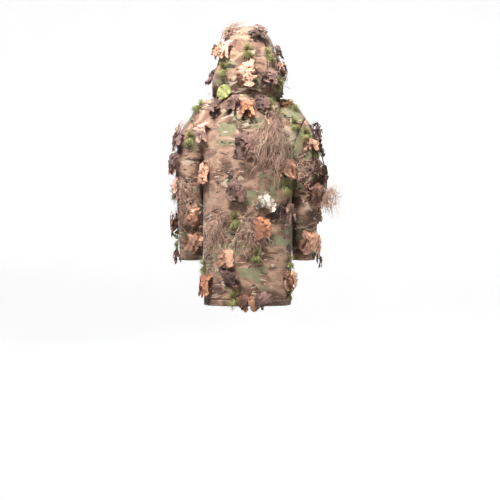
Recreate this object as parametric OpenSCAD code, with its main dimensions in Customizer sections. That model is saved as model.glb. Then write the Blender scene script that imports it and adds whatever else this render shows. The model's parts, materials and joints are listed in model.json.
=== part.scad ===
// Hooded ghillie jacket, as it hangs on its wearer.
// +Z is up, -Y is the front, +X is the wearer's left. The origin is the centre of the neck seam.

/* [Body] */
// Half width of the body at the armpits
chest_half_width = 184; // [180:1:188]
// Half width of the body at the waist
waist_half_width = 182; // [160:1:184]
// Half width of the body at the hem
hem_half_width = 187; // [165:1:189]
// Depth of the front at the armpits, from the side seam plane
chest_front = 126; // [118:1:132]
// Depth of the front at the hem
hem_front = 136; // [128:1:144]
// Depth of the back at the armpits
chest_back = 142; // [132:1:150]
// Depth of the back at the waist
waist_back = 124; // [116:1:130]
// Depth of the back at the hem
hem_back_depth = 140; // [130:1:148]
// Drop of the armpits below the neck seam
chest_drop = 260; // [250:1:270]
// Drop of the waist
waist_drop = 480; // [460:5:500]
// Drop of the hem's lower edge
hem_drop = 853; // [820:1:880]
// Height of the hem band
hem_height = 26; // [20:1:34]
// Squareness of the body's outline, where 2 is an ellipse
squareness = 2.4; // [2.2:0.1:2.6]
// Thickness of one layer of cloth
cloth = 2.4; // [1.8:0.1:2.6]

/* [Shoulders] */
// Half width between the tops of the armholes
shoulder_half_width = 232; // [220:1:234]
// Drop of the armhole's top
shoulder_drop = 80; // [76:1:104]
// Half depth of the armhole, front to back
armhole_half_depth = 78; // [72:1:84]
// How far the armhole is cut in at half height
armhole_cut = 12; // [8:1:16]
// How far the shoulder seam arches above a straight line
shoulder_padding = 25; // [6:1:34]

/* [Sleeves] */
// Distance of the upper sleeve's centre from the middle
sleeve_x = 246; // [245:1:250]
// Half width of the upper sleeve
sleeve_half_width = 56; // [52:1:57]
// Half depth of the upper sleeve
sleeve_half_depth = 62; // [58:1:66]
// Radius of the cuff
cuff_radius = 46; // [42:1:50]
// Distance of the cuff's centre from the middle
cuff_x = 240; // [234:1:246]
// How far the cuff hangs in front of the shoulder
cuff_forward = 68; // [50:2:80]
// How far the cap of the sleeve reaches out before it turns down
cap_fullness = 46; // [30:1:60]
// Downward slope of the cap where it leaves the shoulder
cap_slope = 0.7; // [0.3:0.05:1]
// Drop of the cuff's lower edge
cuff_drop = 669; // [650:1:690]
// Height of the elastic cuff
cuff_height = 48; // [36:2:60]

/* [Neck and hood] */
// Half width of the neck seam
neck_half_width = 112; // [108:1:114]
// Half depth of the neck seam
neck_half_depth = 98; // [94:1:102]
// Slope of the neck seam, down to the throat
neck_tilt = 8.7; // [7:0.1:10]
// Half width of the hood where it rests on the shoulders
hood_half_width = 160; // [146:1:164]
// Half width of the face opening
face_half_width = 117; // [110:1:122]
// Height of the face opening, from the throat
face_height = 314; // [304:1:320]
// Half angle of the hood's crown strip
crown_angle = 31; // [26:1:36]

/* [Zip] */
// Half width of the slot between the two front edges
zip_half_gap = 4; // [3.8:0.1:4.4]
// Pitch of the teeth
tooth_pitch = 9; // [8:0.5:12]
// Width of each zip tape
tape_width = 12; // [10:1:14]

/* [Pockets] */
// Inner and outer edge of a pocket, from the middle of the front
pocket_inner_x = 34; // [30:1:38]
pocket_outer_x = 128; // [120:1:130]
// Drop of the pocket's mouth
pocket_mouth_drop = 590; // [580:5:600]
// Height of the pocket
pocket_height = 175; // [160:5:185]
// How far the pocket stands out when it is empty
pocket_bulge = 16; // [12:1:18]
// Length of the pocket flap
flap_length = 62; // [55:1:70]

/* [Foliage] */
// Length of an oak leaf of size 1, with its stem
leaf_length = 104; // [90:2:110]
// Radius of a grass tuft of size 1
tuft_radius = 34; // [28:1:38]
// Length of a raffia tuft of size 1
raffia_length = 150; // [130:5:160]
// Thickness of the leaf cloth
leaf_thickness = 1.2; // [1:0.1:1.6]

/* [Hidden] */

cloth_colour = [0.58, 0.49, 0.39];
hem_colour = [0.50, 0.42, 0.33];
tape_colour = [0.30, 0.27, 0.20];
metal_colour = [0.42, 0.40, 0.34];
tan_colour = [0.80, 0.58, 0.44];
brown_colour = [0.38, 0.27, 0.23];
grass_colour = [0.45, 0.56, 0.24];
raffia_colour = [0.72, 0.57, 0.45];

seam_gap = 0.6;
hood_lift = 1.4;
seam_stop = 0.988;
tan_height = 2.2;
brown_height = 5.8;
grass_height = 9.4;
raffia_height = 13;
raffia_tilt = 2;
outline_power = 2 / squareness;
door_seam_y = 75;
yoke_split = 0.34;
cuff_top = -cuff_drop + cuff_height;
cap_base = -chest_drop - 50;
brim_start = 91.2;
brim_end = 97;
throat_angle = 14;
panel_columns = 20;
tube_sides = 22;

// ---------- Shape functions ----------

function signed_power(v, p) = sign(v) * pow(abs(v), p);
function mix(a, b, t) = a * (1 - t) + b * t;
function unit(v) = v / norm(v);

function body_half_width(z) = lookup(z, [
    [-hem_drop, hem_half_width],
    [-waist_drop, waist_half_width],
    [-chest_drop - 110, mix(waist_half_width, chest_half_width, 0.4)],
    [-chest_drop, chest_half_width],
]);
function body_back(z) = lookup(z, [
    [-hem_drop, hem_back_depth],
    [-waist_drop, waist_back],
    [-chest_drop - 110, mix(waist_back, chest_back, 0.6)],
    [-chest_drop, chest_back],
]);
function body_front(z) = lookup(z, [[-hem_drop, hem_front], [-chest_drop, chest_front]]);
function body_depth(z, angle) = sin(angle) > 0 ? body_back(z) : body_front(z);

// A point of the body's outline at height z: 0 degrees is the left side seam and 90 the back.
function body_point(z, angle) = [
    body_half_width(z) * signed_power(cos(angle), outline_power),
    body_depth(z, angle) * signed_power(sin(angle), outline_power),
    z,
];
function body_normal(z, angle) = let (
    p = body_point(z, angle),
    w = body_half_width(z),
    d = body_depth(z, angle)
) unit([
    signed_power(p.x / w, squareness - 1) / w,
    signed_power(p.y / d, squareness - 1) / d,
    0,
]);
function front_angle_at_x(z, x) = -acos(pow(x / body_half_width(z), squareness / 2));
function front_angle_at_y(z, y) = -asin(pow(y / body_front(z), squareness / 2));

// The neck seam, with the same angles as the body's outline.
function neck_point(angle) = [
    neck_half_width * signed_power(cos(angle), outline_power),
    neck_half_depth * signed_power(sin(angle), outline_power) * cos(neck_tilt),
    neck_half_depth * signed_power(sin(angle), outline_power) * sin(neck_tilt),
];

// The left armhole: 0 degrees is the armpit, 90 the back, 180 the shoulder and 270 the front.
function armhole_point(angle) = let (rise = (1 - cos(angle)) / 2) [
    mix(chest_half_width, shoulder_half_width, rise) - armhole_cut * pow(sin(angle), 2),
    armhole_half_depth * sin(angle),
    mix(-chest_drop, -shoulder_drop, rise),
];

// The edge above the back or the front: along one shoulder seam, then around the neck.
function top_edge(u, neck_start, neck_end) = u < yoke_split
    ? mix(armhole_point(180), neck_point(neck_start), u / yoke_split)
        + shoulder_padding * sin(180 * u / yoke_split) * [0.4, 0, 1]
    : neck_point(mix(neck_start, neck_end, (u - yoke_split) / (1 - yoke_split)));

// How far the armhole's curve stands off the straight line from armpit to shoulder.
function armhole_swell(v, side) =
    armhole_point(180 * v * side) - mix(armhole_point(0), armhole_point(180), v);

function across(v) = [-v.x, v.y, v.z];

// Upper half of the back, for the left half u = 0 at the armhole to 0.5 at the middle.
function upper_back_half(u, v) =
    mix(body_point(-chest_drop, 180 * u), top_edge(2 * u, 0, 90), v)
    + pow(1 - 2 * u, 2) * armhole_swell(v, 1)
    + 24 * sin(180 * v) * sin(180 * u) * [0, 0.8, 0.4];
function upper_back(u, v) = u <= 0.5 ? upper_back_half(u, v) : across(upper_back_half(1 - u, v));

// Upper left front, u = 0 at the armhole to 1 at the zip.
function upper_front(u, v) = let (
    chest_end = front_angle_at_x(-chest_drop, zip_half_gap),
    neck_end = -acos(pow(zip_half_gap / neck_half_width, squareness / 2))
) mix(body_point(-chest_drop, chest_end * u), top_edge(u, 0, neck_end), v)
    + pow(1 - u, 2) * armhole_swell(v, -1)
    + 14 * sin(180 * v) * sin(180 * u) * [0, -1, 0.3];

// The sleeve below the shoulder cap: 0 degrees is the outer side and 90 the back.
function sleeve_ring(z, angle) = let (
    s = (cap_base - z) / (cap_base + cuff_drop),
    hang = pow(max(s, 0), 1.6)
) [
    mix(sleeve_x, cuff_x, s) + mix(sleeve_half_width, cuff_radius, s) * cos(angle),
    -cuff_forward * hang + mix(sleeve_half_depth, cuff_radius, s) * sin(angle),
    z,
];
// The shoulder cap, s = 0 at the upper sleeve to 1 at the armhole.
function cap_point(s, angle) = let (
    high = (1 + cos(angle)) / 2,
    low_end = sleeve_ring(cap_base, angle),
    low_pull = low_end + [0, 0, mix(12, 110, high)],
    outward = [1, 0, -cap_slope],
    top_end = armhole_point(180 - angle) + seam_gap * outward,
    top_pull = top_end + mix(16, cap_fullness, high) * outward
) pow(1 - s, 3) * low_end + 3 * pow(1 - s, 2) * s * low_pull
    + 3 * (1 - s) * s * s * top_pull + pow(s, 3) * top_end;

// The hood: each loop lies in a plane that turns up about the throat by the fan angle.
function hood_loop_half_width(fan) = lookup(fan, [
    [neck_tilt, neck_half_width], [14, hood_half_width - 7], [20, hood_half_width],
    [40, hood_half_width - 20], [60, face_half_width + 7], [75, face_half_width + 2],
    [90, face_half_width], [brim_end, face_half_width],
]);
function hood_loop_length(fan) = lookup(fan, [
    [neck_tilt, 2 * neck_half_depth], [14, 2 * neck_half_depth + 12], [20, 2 * neck_half_depth + 28],
    [30, 256], [45, 292], [60, 312], [75, face_height + 6], [90, face_height + 2],
    [brim_end, face_height],
]);
function hood_point(fan, angle) = let (
    reach = hood_loop_length(fan) / 2 * (1 - signed_power(cos(angle), outline_power)),
    throat = -neck_half_depth * [0, cos(neck_tilt), sin(neck_tilt)]
) throat + [
    hood_loop_half_width(fan) * signed_power(sin(angle), outline_power),
    reach * cos(fan),
    reach * sin(fan) + hood_lift,
];

// ---------- Solids from point grids ----------

function at(grid, i, j) = grid[min(max(i, 0), len(grid) - 1)][j];
function column(j, count, closed) = closed ? (j + count) % count : min(max(j, 0), count - 1);
function grid_normal(grid, i, j, closed) = let (n = len(grid[0])) unit(cross(
    at(grid, i, column(j + 1, n, closed)) - at(grid, i, column(j - 1, n, closed)),
    at(grid, i + 1, j) - at(grid, i - 1, j)
));

// A sheet of cloth: rows of points go up and each row goes counterclockwise from above.
// A closed sheet joins each row's ends, as in a sleeve.
module sheet(grid, thickness = cloth, closed = false) {
    rows = len(grid);
    columns = len(grid[0]);
    last = closed ? columns : columns - 1;
    inner = rows * columns;
    outside = [for (i = [0:rows - 1]) for (j = [0:columns - 1]) grid[i][j]];
    inside = [for (i = [0:rows - 1]) for (j = [0:columns - 1])
        grid[i][j] - thickness * grid_normal(grid, i, j, closed)];
    faces = [
        for (i = [0:rows - 2]) for (j = [0:last - 1]) let (
            a = i * columns + j,
            b = i * columns + (j + 1) % columns,
            c = b + columns,
            d = a + columns
        ) each [
            [a, d, c], [a, c, b],
            [a + inner, c + inner, d + inner], [a + inner, b + inner, c + inner],
        ],
        for (j = [0:last - 1]) let (
            a = j,
            b = (j + 1) % columns,
            d = a + (rows - 1) * columns,
            c = b + (rows - 1) * columns
        ) each [
            [a, b, b + inner], [a, b + inner, a + inner],
            [c, d, d + inner], [c, d + inner, c + inner],
        ],
        if (!closed) for (i = [0:rows - 2]) let (
            a = i * columns,
            d = a + columns,
            b = a + columns - 1,
            c = b + columns
        ) each [
            [d, a, a + inner], [d, a + inner, d + inner],
            [b, c, c + inner], [b, c + inner, b + inner],
        ],
    ];
    polyhedron(concat(outside, inside), faces);
}

function steps(from, to, count) = [for (k = [0:count]) mix(from, to, k / count)];

// Puts its children on a skin: X turns from the skin's across direction, Z points out.
module on_skin(skin, u, v, turn, lift, tilt = 0) {
    step = 0.004;
    p = skin(u, v);
    outward = unit(cross(skin(u + step, v) - p, skin(u, v + step) - p));
    level = unit(cross([0, 0, 1], outward));
    up = cross(outward, level);
    origin = p + lift * outward;
    multmatrix([
        [level.x, up.x, outward.x, origin.x],
        [level.y, up.y, outward.y, origin.y],
        [level.z, up.z, outward.z, origin.z],
    ])
        rotate([0, 0, turn])
            rotate([0, -tilt, 0])
                children();
}

module mirrored() mirror([1, 0, 0]) children();

// ---------- Body ----------

module lower_body(from_angle, to_angle, columns, low, high, thickness) {
    sheet([for (z = steps(low, high, 9)) [
        for (t = steps(0, 1, columns)) body_point(z, mix(from_angle(z), to_angle(z), t))
    ]], thickness);
}

module back_panel() {
    low = -hem_drop + hem_height + seam_gap;
    edge = 0.0003;
    below = [for (z = steps(low, -chest_drop, 9)) [
        for (u = steps(edge, 1 - edge, panel_columns)) body_point(z, 180 * u)
    ]];
    above = [for (v = steps(0.14, 1, 6)) [
        for (u = steps(edge, 1 - edge, panel_columns)) upper_back(u, v)
    ]];
    color(cloth_colour) sheet(concat(below, above));
}

module side_panel() {
    side = function(z) -0.055;
    seam = function(z) front_angle_at_y(z, door_seam_y - seam_gap);
    color(cloth_colour)
        lower_body(seam, side, 4, -hem_drop + hem_height + seam_gap, -chest_drop - seam_gap, cloth);
}

module front_panel() {
    seam = function(z) front_angle_at_y(z, door_seam_y + seam_gap);
    edge = function(z) front_angle_at_x(z, zip_half_gap);
    color(cloth_colour)
        lower_body(edge, seam, 9, -hem_drop + hem_height + seam_gap, -chest_drop - seam_gap, cloth);
}

module yoke() {
    color(cloth_colour) sheet([for (v = steps(0.002, seam_stop, 7)) [
        for (u = steps(1, 0.0006, 12)) upper_front(u, v)
    ]]);
}

// The hem is the turned-up lower edge. It is thicker at the back and pressed flat where the zip tape lies.
module hem_band(from_angle, to_angle, columns, thickness) {
    color(hem_colour) sheet([for (z = steps(-hem_drop, -hem_drop + hem_height, 2)) [
        for (t = steps(0, 1, columns)) body_point(z, mix(from_angle(z), to_angle(z), t))
    ]], thickness);
}
module hem_back() {
    start = function(z) front_angle_at_y(z, door_seam_y - seam_gap);
    finish = function(z) 180 - front_angle_at_y(z, door_seam_y - seam_gap);
    hem_band(start, finish, 26, 1.5 * cloth);
}
module hem_front() {
    seam = function(z) front_angle_at_y(z, door_seam_y + seam_gap);
    edge = function(z) front_angle_at_x(z, zip_half_gap);
    hem_band(edge, seam, 8, cloth);
}

// ---------- Neck ----------

// Tape that covers the neck seam inside the collar.
module neck_binding() {
    inset = 5;
    throat = 80;
    shrink = (neck_half_width - inset) / neck_half_width;
    color(tape_colour) sheet([for (rise = [-10, 2, 12]) [
        for (a = steps(-throat, 180 + throat, 30)) neck_point(a) * shrink + [0, 0, rise]
    ]], 1.4);
}

module neck_label() {
    label = [46, 1, 30];
    inset = 10;
    color([0.85, 0.82, 0.74])
        translate([-label.x / 2, neck_half_depth - inset - 3 * label.y, -label.z])
            cube(label);
}

// Loop that hangs the jacket on a hook, a half round of tape below the binding.
module hanger_loop() {
    radius = 19;
    tape = 1.4;
    height = 7;
    nape_inset = 13;
    drop = 46;
    color(tape_colour)
        translate([0, neck_half_depth - nape_inset, -drop])
            rotate([90, 0, 0])
                linear_extrude(height)
                    difference() {
                        circle(radius, $fn = 48);
                        circle(radius - tape, $fn = 48);
                        translate([-radius, 0]) square(2 * radius);
                    }
}

// ---------- Zip ----------

lower_lean = atan2(hem_front - chest_front, hem_drop - chest_drop);
lower_length = norm([hem_front - chest_front, hem_drop - chest_drop]);
throat_y = neck_half_depth * cos(neck_tilt);
throat_drop = neck_half_depth * sin(neck_tilt);
upper_lean = atan2(chest_front - throat_y, chest_drop - throat_drop);
upper_length = norm([chest_front - throat_y, chest_drop - throat_drop]);
tape_depth = 3.4;
tooth_inner = 0.9;
tooth_outer = 3.5;
slider_height = 18;
slider_travel = lower_length - slider_height - 20;

// Local frames: X across, Z up along the zip and +Y into the jacket.
module on_lower_zip() {
    translate([0, -hem_front, -hem_drop]) rotate([-lower_lean, 0, 0]) children();
}
module on_upper_zip() {
    translate([0, -chest_front, -chest_drop]) rotate([-upper_lean, 0, 0]) children();
}

module tape_strip(low, high) {
    color(tape_colour)
        translate([tooth_inner, tape_depth, low])
            cube([tape_width, 1, high - low]);
}

// One row of teeth as a flat comb.
module tooth_row(low, high) {
    spine = 1.1;
    count = floor((high - low) / tooth_pitch);
    outline = [
        [tooth_outer, low],
        [tooth_outer, low + count * tooth_pitch],
        for (k = [count - 1:-1:0]) let (z = low + k * tooth_pitch) each [
            [tooth_outer - spine, z + tooth_pitch],
            [tooth_outer - spine, z + 0.7 * tooth_pitch],
            [tooth_inner, z + 0.62 * tooth_pitch],
            [tooth_inner, z + 0.18 * tooth_pitch],
            [tooth_outer - spine, z + 0.1 * tooth_pitch],
        ],
        [tooth_outer - spine, low],
    ];
    color(metal_colour)
        translate([0, cloth, 0])
            rotate([90, 0, 0])
                linear_extrude(cloth)
                    polygon(outline);
}

module zip_tape_upper() {
    on_upper_zip() {
        tape_strip(2, upper_length - 4);
        mirrored() tape_strip(2, upper_length - 4);
    }
}
module zip_teeth_upper() {
    on_upper_zip() {
        tooth_row(2, upper_length - 6);
        mirrored() tooth_row(2, upper_length - 6);
    }
}
module zip_tape_lower() {
    on_lower_zip() tape_strip(4, lower_length - 2);
}
module zip_teeth_lower() {
    on_lower_zip() tooth_row(8, lower_length - 2);
}

pin_radius = 1.2;
pin_y = -6.2;

// Two plates joined by a thin bridge that runs between the rows of teeth.
module slider() {
    plate = [14, 1, slider_height];
    front_y = -2.6;
    back_y = 5.9;
    bridge = [1.1, back_y - front_y + plate.y, 5];
    ear = [1.1, 5.8, 5];
    ear_gap = 4.8;
    color(metal_colour) {
        union() {
            translate([-plate.x / 2, front_y, 0]) cube(plate);
            translate([-plate.x / 2, back_y, 0]) cube(plate);
            translate([-bridge.x / 2, front_y, 0]) cube(bridge);
            for (side = [-1, 1])
                translate([side * (ear_gap + ear.x) / 2 - ear.x / 2, front_y - ear.y + 0.4, 8])
                    cube(ear);
            translate([-(ear_gap + ear.x) / 2, pin_y, 10.5])
                rotate([0, 90, 0])
                    cylinder(r = pin_radius, h = ear_gap + ear.x, $fn = 40);
        }
    }
}

// The pull tab turns on the slider's pin.
module pull_tab() {
    width = 4.2;
    barrel_radius = 2.2;
    length = 30;
    thickness = 1.4;
    color(metal_colour)
        translate([-width / 2, pin_y, 10.5])
            difference() {
                union() {
                    rotate([0, 90, 0]) cylinder(r = barrel_radius, h = width, $fn = 40);
                    translate([0, -thickness / 2, -length]) cube([width, thickness, length]);
                }
                translate([-1, 0, 0])
                    rotate([0, 90, 0])
                        cylinder(r = pin_radius + 0.08, h = width + 2, $fn = 40);
            }
}

module lower_slider_place() on_lower_zip() translate([0, 0, 2]) children();
module upper_slider_place() on_upper_zip() translate([0, 0, upper_length - 24]) children();

// ---------- Pockets ----------

function pocket_point(x, z, out) = let (angle = front_angle_at_x(z, x))
    body_point(z, angle) + out * body_normal(z, angle);

// A pouch that is open at the top: its side and bottom edges come down to the front panel.
module pocket() {
    base_gap = 0.8 + cloth;
    rim = pocket_bulge + cloth;
    bottom = -pocket_mouth_drop - pocket_height;
    wall = 0.03;
    columns = concat([[-wall, false]], [for (t = steps(0, 1, 7)) [t, true]], [[1 + wall, false]]);
    rows = concat([[-wall, false]], [for (t = steps(0, 1, 5)) [t, true]]);
    color(cloth_colour) sheet([for (r = rows) [for (c = columns)
        pocket_point(
            mix(pocket_inner_x, pocket_outer_x, c[0]),
            mix(bottom, -pocket_mouth_drop, r[0]),
            (r[1] && c[1]) ? rim : base_gap
        )
    ]], cloth / 2);
}

flap_hinge_z = -pocket_mouth_drop + 12;
flap_hinge_x = (pocket_inner_x + pocket_outer_x) / 2;
flap_out = pocket_bulge + 3 * cloth;

module pocket_flap() {
    overhang = 3;
    rows = [
        [-pocket_mouth_drop - flap_length + 12, flap_out],
        [-pocket_mouth_drop - flap_length / 2, flap_out],
        [-pocket_mouth_drop + 3, flap_out],
        [flap_hinge_z - 1, 0.5 * flap_out],
        [flap_hinge_z, cloth + 1],
    ];
    color(cloth_colour) sheet([for (r = rows) [
        for (x = steps(pocket_inner_x - overhang, pocket_outer_x + overhang, 8))
            pocket_point(x, r[0], r[1])
    ]], cloth / 2);
}

// Flat button near the flap's lower edge.
module flap_button() {
    radius = 8;
    thickness = 2;
    z = -pocket_mouth_drop - flap_length + 30;
    angle = front_angle_at_x(z, flap_hinge_x);
    n = body_normal(z, angle);
    p = pocket_point(flap_hinge_x, z, flap_out + 0.6);
    color([0.25, 0.22, 0.16])
        translate(p)
            rotate([0, 90, atan2(n.y, n.x)])
                cylinder(r = radius, h = thickness, $fn = 48);
}

// ---------- Sleeves ----------

module sleeve() {
    angles = [for (k = [0:tube_sides - 1]) 360 * k / tube_sides];
    tube = [for (z = steps(cuff_top + seam_gap, cap_base, 8)) [for (a = angles) sleeve_ring(z, a)]];
    cap = [for (s = steps(0.14, 1, 6)) [for (a = angles) cap_point(s, a)]];
    color(cloth_colour) sheet(concat(tube, cap), cloth, true);
}

module cuff() {
    color(hem_colour) sheet([for (z = steps(-cuff_drop, cuff_top, 3)) [
        for (k = [0:tube_sides - 1]) sleeve_ring(z, 360 * k / tube_sides)
    ]], 1.5 * cloth, true);
}

// ---------- Hood ----------

module hood_part(fan_low, fan_high, rows, from_angle, to_angle, columns, thickness = cloth) {
    sheet([for (fan = steps(fan_low, fan_high, rows)) [
        for (a = steps(from_angle, to_angle, columns)) hood_point(fan, a)
    ]], thickness);
}

seam_angle = 0.25;
module hood_side() {
    color(cloth_colour)
        hood_part(neck_tilt + 0.3, brim_start - 0.2, 11, throat_angle, 180 - crown_angle - seam_angle, 12);
}
module hood_crown() {
    color(cloth_colour)
        hood_part(neck_tilt + 0.3, brim_start - 0.2, 11, 180 - crown_angle + seam_angle,
            180 + crown_angle - seam_angle, 6);
}
module hood_brim() {
    color(hem_colour)
        hood_part(brim_start, brim_end, 2, throat_angle, 360 - throat_angle, 34, 1.5 * cloth);
}

// ---------- Foliage ----------

back_skin = function(u, v) v < 0
    ? body_point(-chest_drop + (hem_drop - chest_drop) * v, 180 * u)
    : upper_back(u, v);
front_skin = function(u, v) body_point(-chest_drop + (hem_drop - chest_drop) * v, -90 + 90 * u);
yoke_skin = function(u, v) upper_front(1 - u, v);
sleeve_skin = function(u, v) v < 0
    ? sleeve_ring(cap_base + (cap_base + cuff_drop) * v, 360 * u)
    : cap_point(v, 360 * u);
hood_skin = function(u, v) hood_point(mix(neck_tilt, brim_end, v), 360 * u);

// Half width of an oak leaf along its length: a tapered body with three round lobes a side.
function leaf_half_width(t) =
    t < 0.2 ? 0.022 : 0.022 + (0.33 - 0.16 * abs(t - 0.6)) * pow(sin(180 * (t - 0.2) / 0.8), 0.5)
        * (0.68 + 0.32 * cos(360 * 3.5 * (t - 0.3)));

// A cut-out oak leaf: its stem starts at the origin and its tip lies along +X.
module leaf(size) {
    length = leaf_length * size;
    sides = [0, 0.2, 0.28, 0.36, 0.44, 0.5, 0.58, 0.66, 0.73, 0.8, 0.87, 0.94];
    outline = concat(
        [for (t = sides) [t * length, leaf_half_width(t) * length]],
        [[length, 0]],
        [for (k = [len(sides) - 1:-1:0]) [sides[k] * length, -leaf_half_width(sides[k]) * length]]
    );
    translate([-length / 2, 0, 0]) linear_extrude(leaf_thickness) polygon(outline);
}

// Grass tuft: a flat star of pointed blades.
module grass_tuft(size) {
    blades = 9;
    core = 0.3;
    linear_extrude(2 * leaf_thickness)
        polygon([for (k = [0:2 * blades - 1])
            tuft_radius * size * (k % 2 == 0 ? 1 - 0.3 * abs(sin(130 * k)) : core)
                * [cos(180 * k / blades), sin(180 * k / blades)]]);
}

// Raffia tuft: long strands that spread from one knot, along +X.
module raffia_tuft(size) {
    strands = 7;
    spread = 16;
    knot = 6;
    linear_extrude(2 * leaf_thickness)
        polygon([
            [-knot, -knot],
            for (k = [0:strands - 1]) let (
                a = spread * (2 * k / (strands - 1) - 1),
                reach = raffia_length * size * (1 - 0.3 * abs(sin(200 * k)))
            ) each [
                reach * [cos(a), sin(a)],
                if (k < strands - 1)
                    0.3 * raffia_length * size * [cos(a + spread / (strands - 1)), sin(a + spread / (strands - 1))],
            ],
            [-knot, knot],
        ]);
}

// Each entry is the place across and up the skin, the turn, the size and, for some, the height and tilt.
module sewn(skin, p, height, tilt)
    on_skin(skin, p[0], p[1], p[2], p[4] == undef ? height : p[4], p[5] == undef ? tilt : p[5]) children();
module leaves(skin, places, height = tan_height)
    for (p = places) sewn(skin, p, height, 0) leaf(p[3]);
module grass(skin, places)
    for (p = places) sewn(skin, p, grass_height, 0) grass_tuft(p[3]);
module raffia(skin, places)
    for (p = places) sewn(skin, p, raffia_height, raffia_tilt) raffia_tuft(p[3]);

back_tan = [[0.5, 0.71, -90, 0.56], [0.86, 0.9, -70, 0.56, 7], [0.05, 0.48, -95, 0.95],
    [0.13, -0.1, -95, 0.95], [0.83, -0.08, -88, 1.1], [0.6, -0.3, -80, 0.76], [0.58, -0.49, -80, 1],
    [0.38, -0.69, -95, 0.88], [0.16, -0.88, -100, 1.2], [0.84, -0.84, -85, 0.96]];
back_brown = [[0.24, 0.86, -100, 0.56, 9.6], [0.31, 0.84, -90, 0.64], [0.42, 0.8, -100, 0.64],
    [0.59, 0.81, -80, 0.6], [0.48, 0.14, -105, 1.2], [0.44, -0.23, -100, 1.04], [0.42, -0.83, -80, 0.8],
    [0.79, -0.38, -95, 1.1], [0.49, -0.98, -100, 0.72], [0.57, -0.98, -80, 0.72]];
back_grass = [[0.69, 0.76, 0, 0.9], [0.92, 0.86, 0, 0.74], [0.06, 0.9, 0, 0.9], [0.82, -0.2, 0, 0.9],
    [0.43, -0.43, 0, 1], [0.55, -0.67, 0, 0.86], [0.1, -0.75, 0, 0.86], [0.86, -0.95, 0, 0.6],
    [0.42, -0.97, 0, 0.9], [0.87, -0.72, 0, 0.74], [0.96, 0.6, 0, 0.7]];
back_raffia = [[0.67, 0.57, -90, 1.5, 13, -4], [0.31, -0.41, -95, 1], [0.5, -0.41, -85, 1]];

module body_tan_leaves() {
    color(tan_colour) {
        leaves(back_skin, back_tan);
        leaves(yoke_skin, [[0.2, 0.55, -85, 1]]);
        mirrored() leaves(yoke_skin, [[0.5, 0.46, -100, 0.85]]);
    }
}
module body_brown_leaves() {
    color(brown_colour) {
        leaves(back_skin, back_brown, brown_height);
        leaves(yoke_skin, [[0.5, 0.44, -100, 0.85]], brown_height);
        mirrored() leaves(yoke_skin, [[0.21, 0.6, -90, 1]], brown_height);
    }
}
module body_grass() {
    color(grass_colour) {
        grass(back_skin, back_grass);
        grass(yoke_skin, [[0.3, 0.24, 0, 0.9]]);
        mirrored() grass(yoke_skin, [[0.32, 0.16, 0, 0.9]]);
    }
}
module body_raffia() {
    color(raffia_colour) {
        raffia(back_skin, back_raffia);
    }
}

module front_left_leaves() {
    color(tan_colour)
        leaves(front_skin, [[0.36, -0.12, -90, 1], [0.22, -0.38, -105, 0.95], [0.42, -0.96, -80, 0.9]]);
}
module front_right_leaves() {
    color(brown_colour)
        mirrored()
            leaves(front_skin, [[0.25, -0.16, -95, 1], [0.42, -0.4, -80, 0.95], [0.2, -0.97, -95, 0.9]]);
}
module front_left_grass() {
    color(grass_colour) grass(front_skin, [[0.42, -0.26, 0, 0.9], [0.16, -0.93, 0, 0.8]]);
}
module front_right_grass() {
    color(grass_colour)
        mirrored() grass(front_skin, [[0.22, -0.32, 0, 0.8], [0.42, -0.92, 0, 0.85]]);
}

module sleeve_left_leaves() {
    color(tan_colour)
        leaves(sleeve_skin, [[0.08, 0.46, -90, 0.72], [0.09, 0.13, -95, 0.8], [0.1, -0.13, -85, 0.64],
            [0.9, 0.05, -80, 0.9], [0.78, 0.3, -90, 0.9], [0, -0.6, -100, 1.04], [0.8, -0.55, -95, 1],
            [0.3, -0.5, -80, 0.96], [0.3, -0.8, -85, 0.88], [0, -0.97, -90, 0.72]]);
}
module sleeve_left_grass() {
    color(grass_colour)
        grass(sleeve_skin, [[0.2, 0.7, 0, 0.8], [0, -0.8, 0, 0.8], [0.98, -0.24, 0, 0.8]]);
}
module sleeve_left_raffia() {
    color(raffia_colour)
        raffia(sleeve_skin, [[0.02, 0.7, -100, 0.55], [0.22, -0.2, -90, 0.85], [0.82, -0.06, -92, 0.7]]);
}
module sleeve_right_leaves() {
    color(brown_colour)
        mirrored() leaves(sleeve_skin, [[0.06, 0.6, -75, 0.9], [0.19, 0.5, -90, 0.72],
            [0.03, 0.16, -80, 1.05], [0.17, 0.12, -60, 0.56], [0.06, -0.14, -85, 0.8],
            [0.2, -0.25, -90, 0.85], [0.95, -0.02, -90, 0.9, 30, 30], [0.2, -0.82, -85, 1.09],
            [0.04, -0.97, -60, 0.6], [0.88, 0.36, -90, 0.9], [0.84, -0.45, -90, 1]], brown_height);
}
module sleeve_right_grass() {
    color(grass_colour)
        mirrored() grass(sleeve_skin,
            [[0.17, 0.72, 0, 0.8], [0.12, 0.3, 0, 0.75], [0.02, -0.85, 0, 0.8], [0.98, -0.3, 0, 0.8]]);
}
module sleeve_right_raffia() {
    color(raffia_colour)
        mirrored() raffia(sleeve_skin,
            [[0.3, 0.2, -95, 0.5], [0.06, -0.32, 15, 0.9, 18, 60], [0.82, -0.06, -92, 0.7]]);
}

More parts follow.
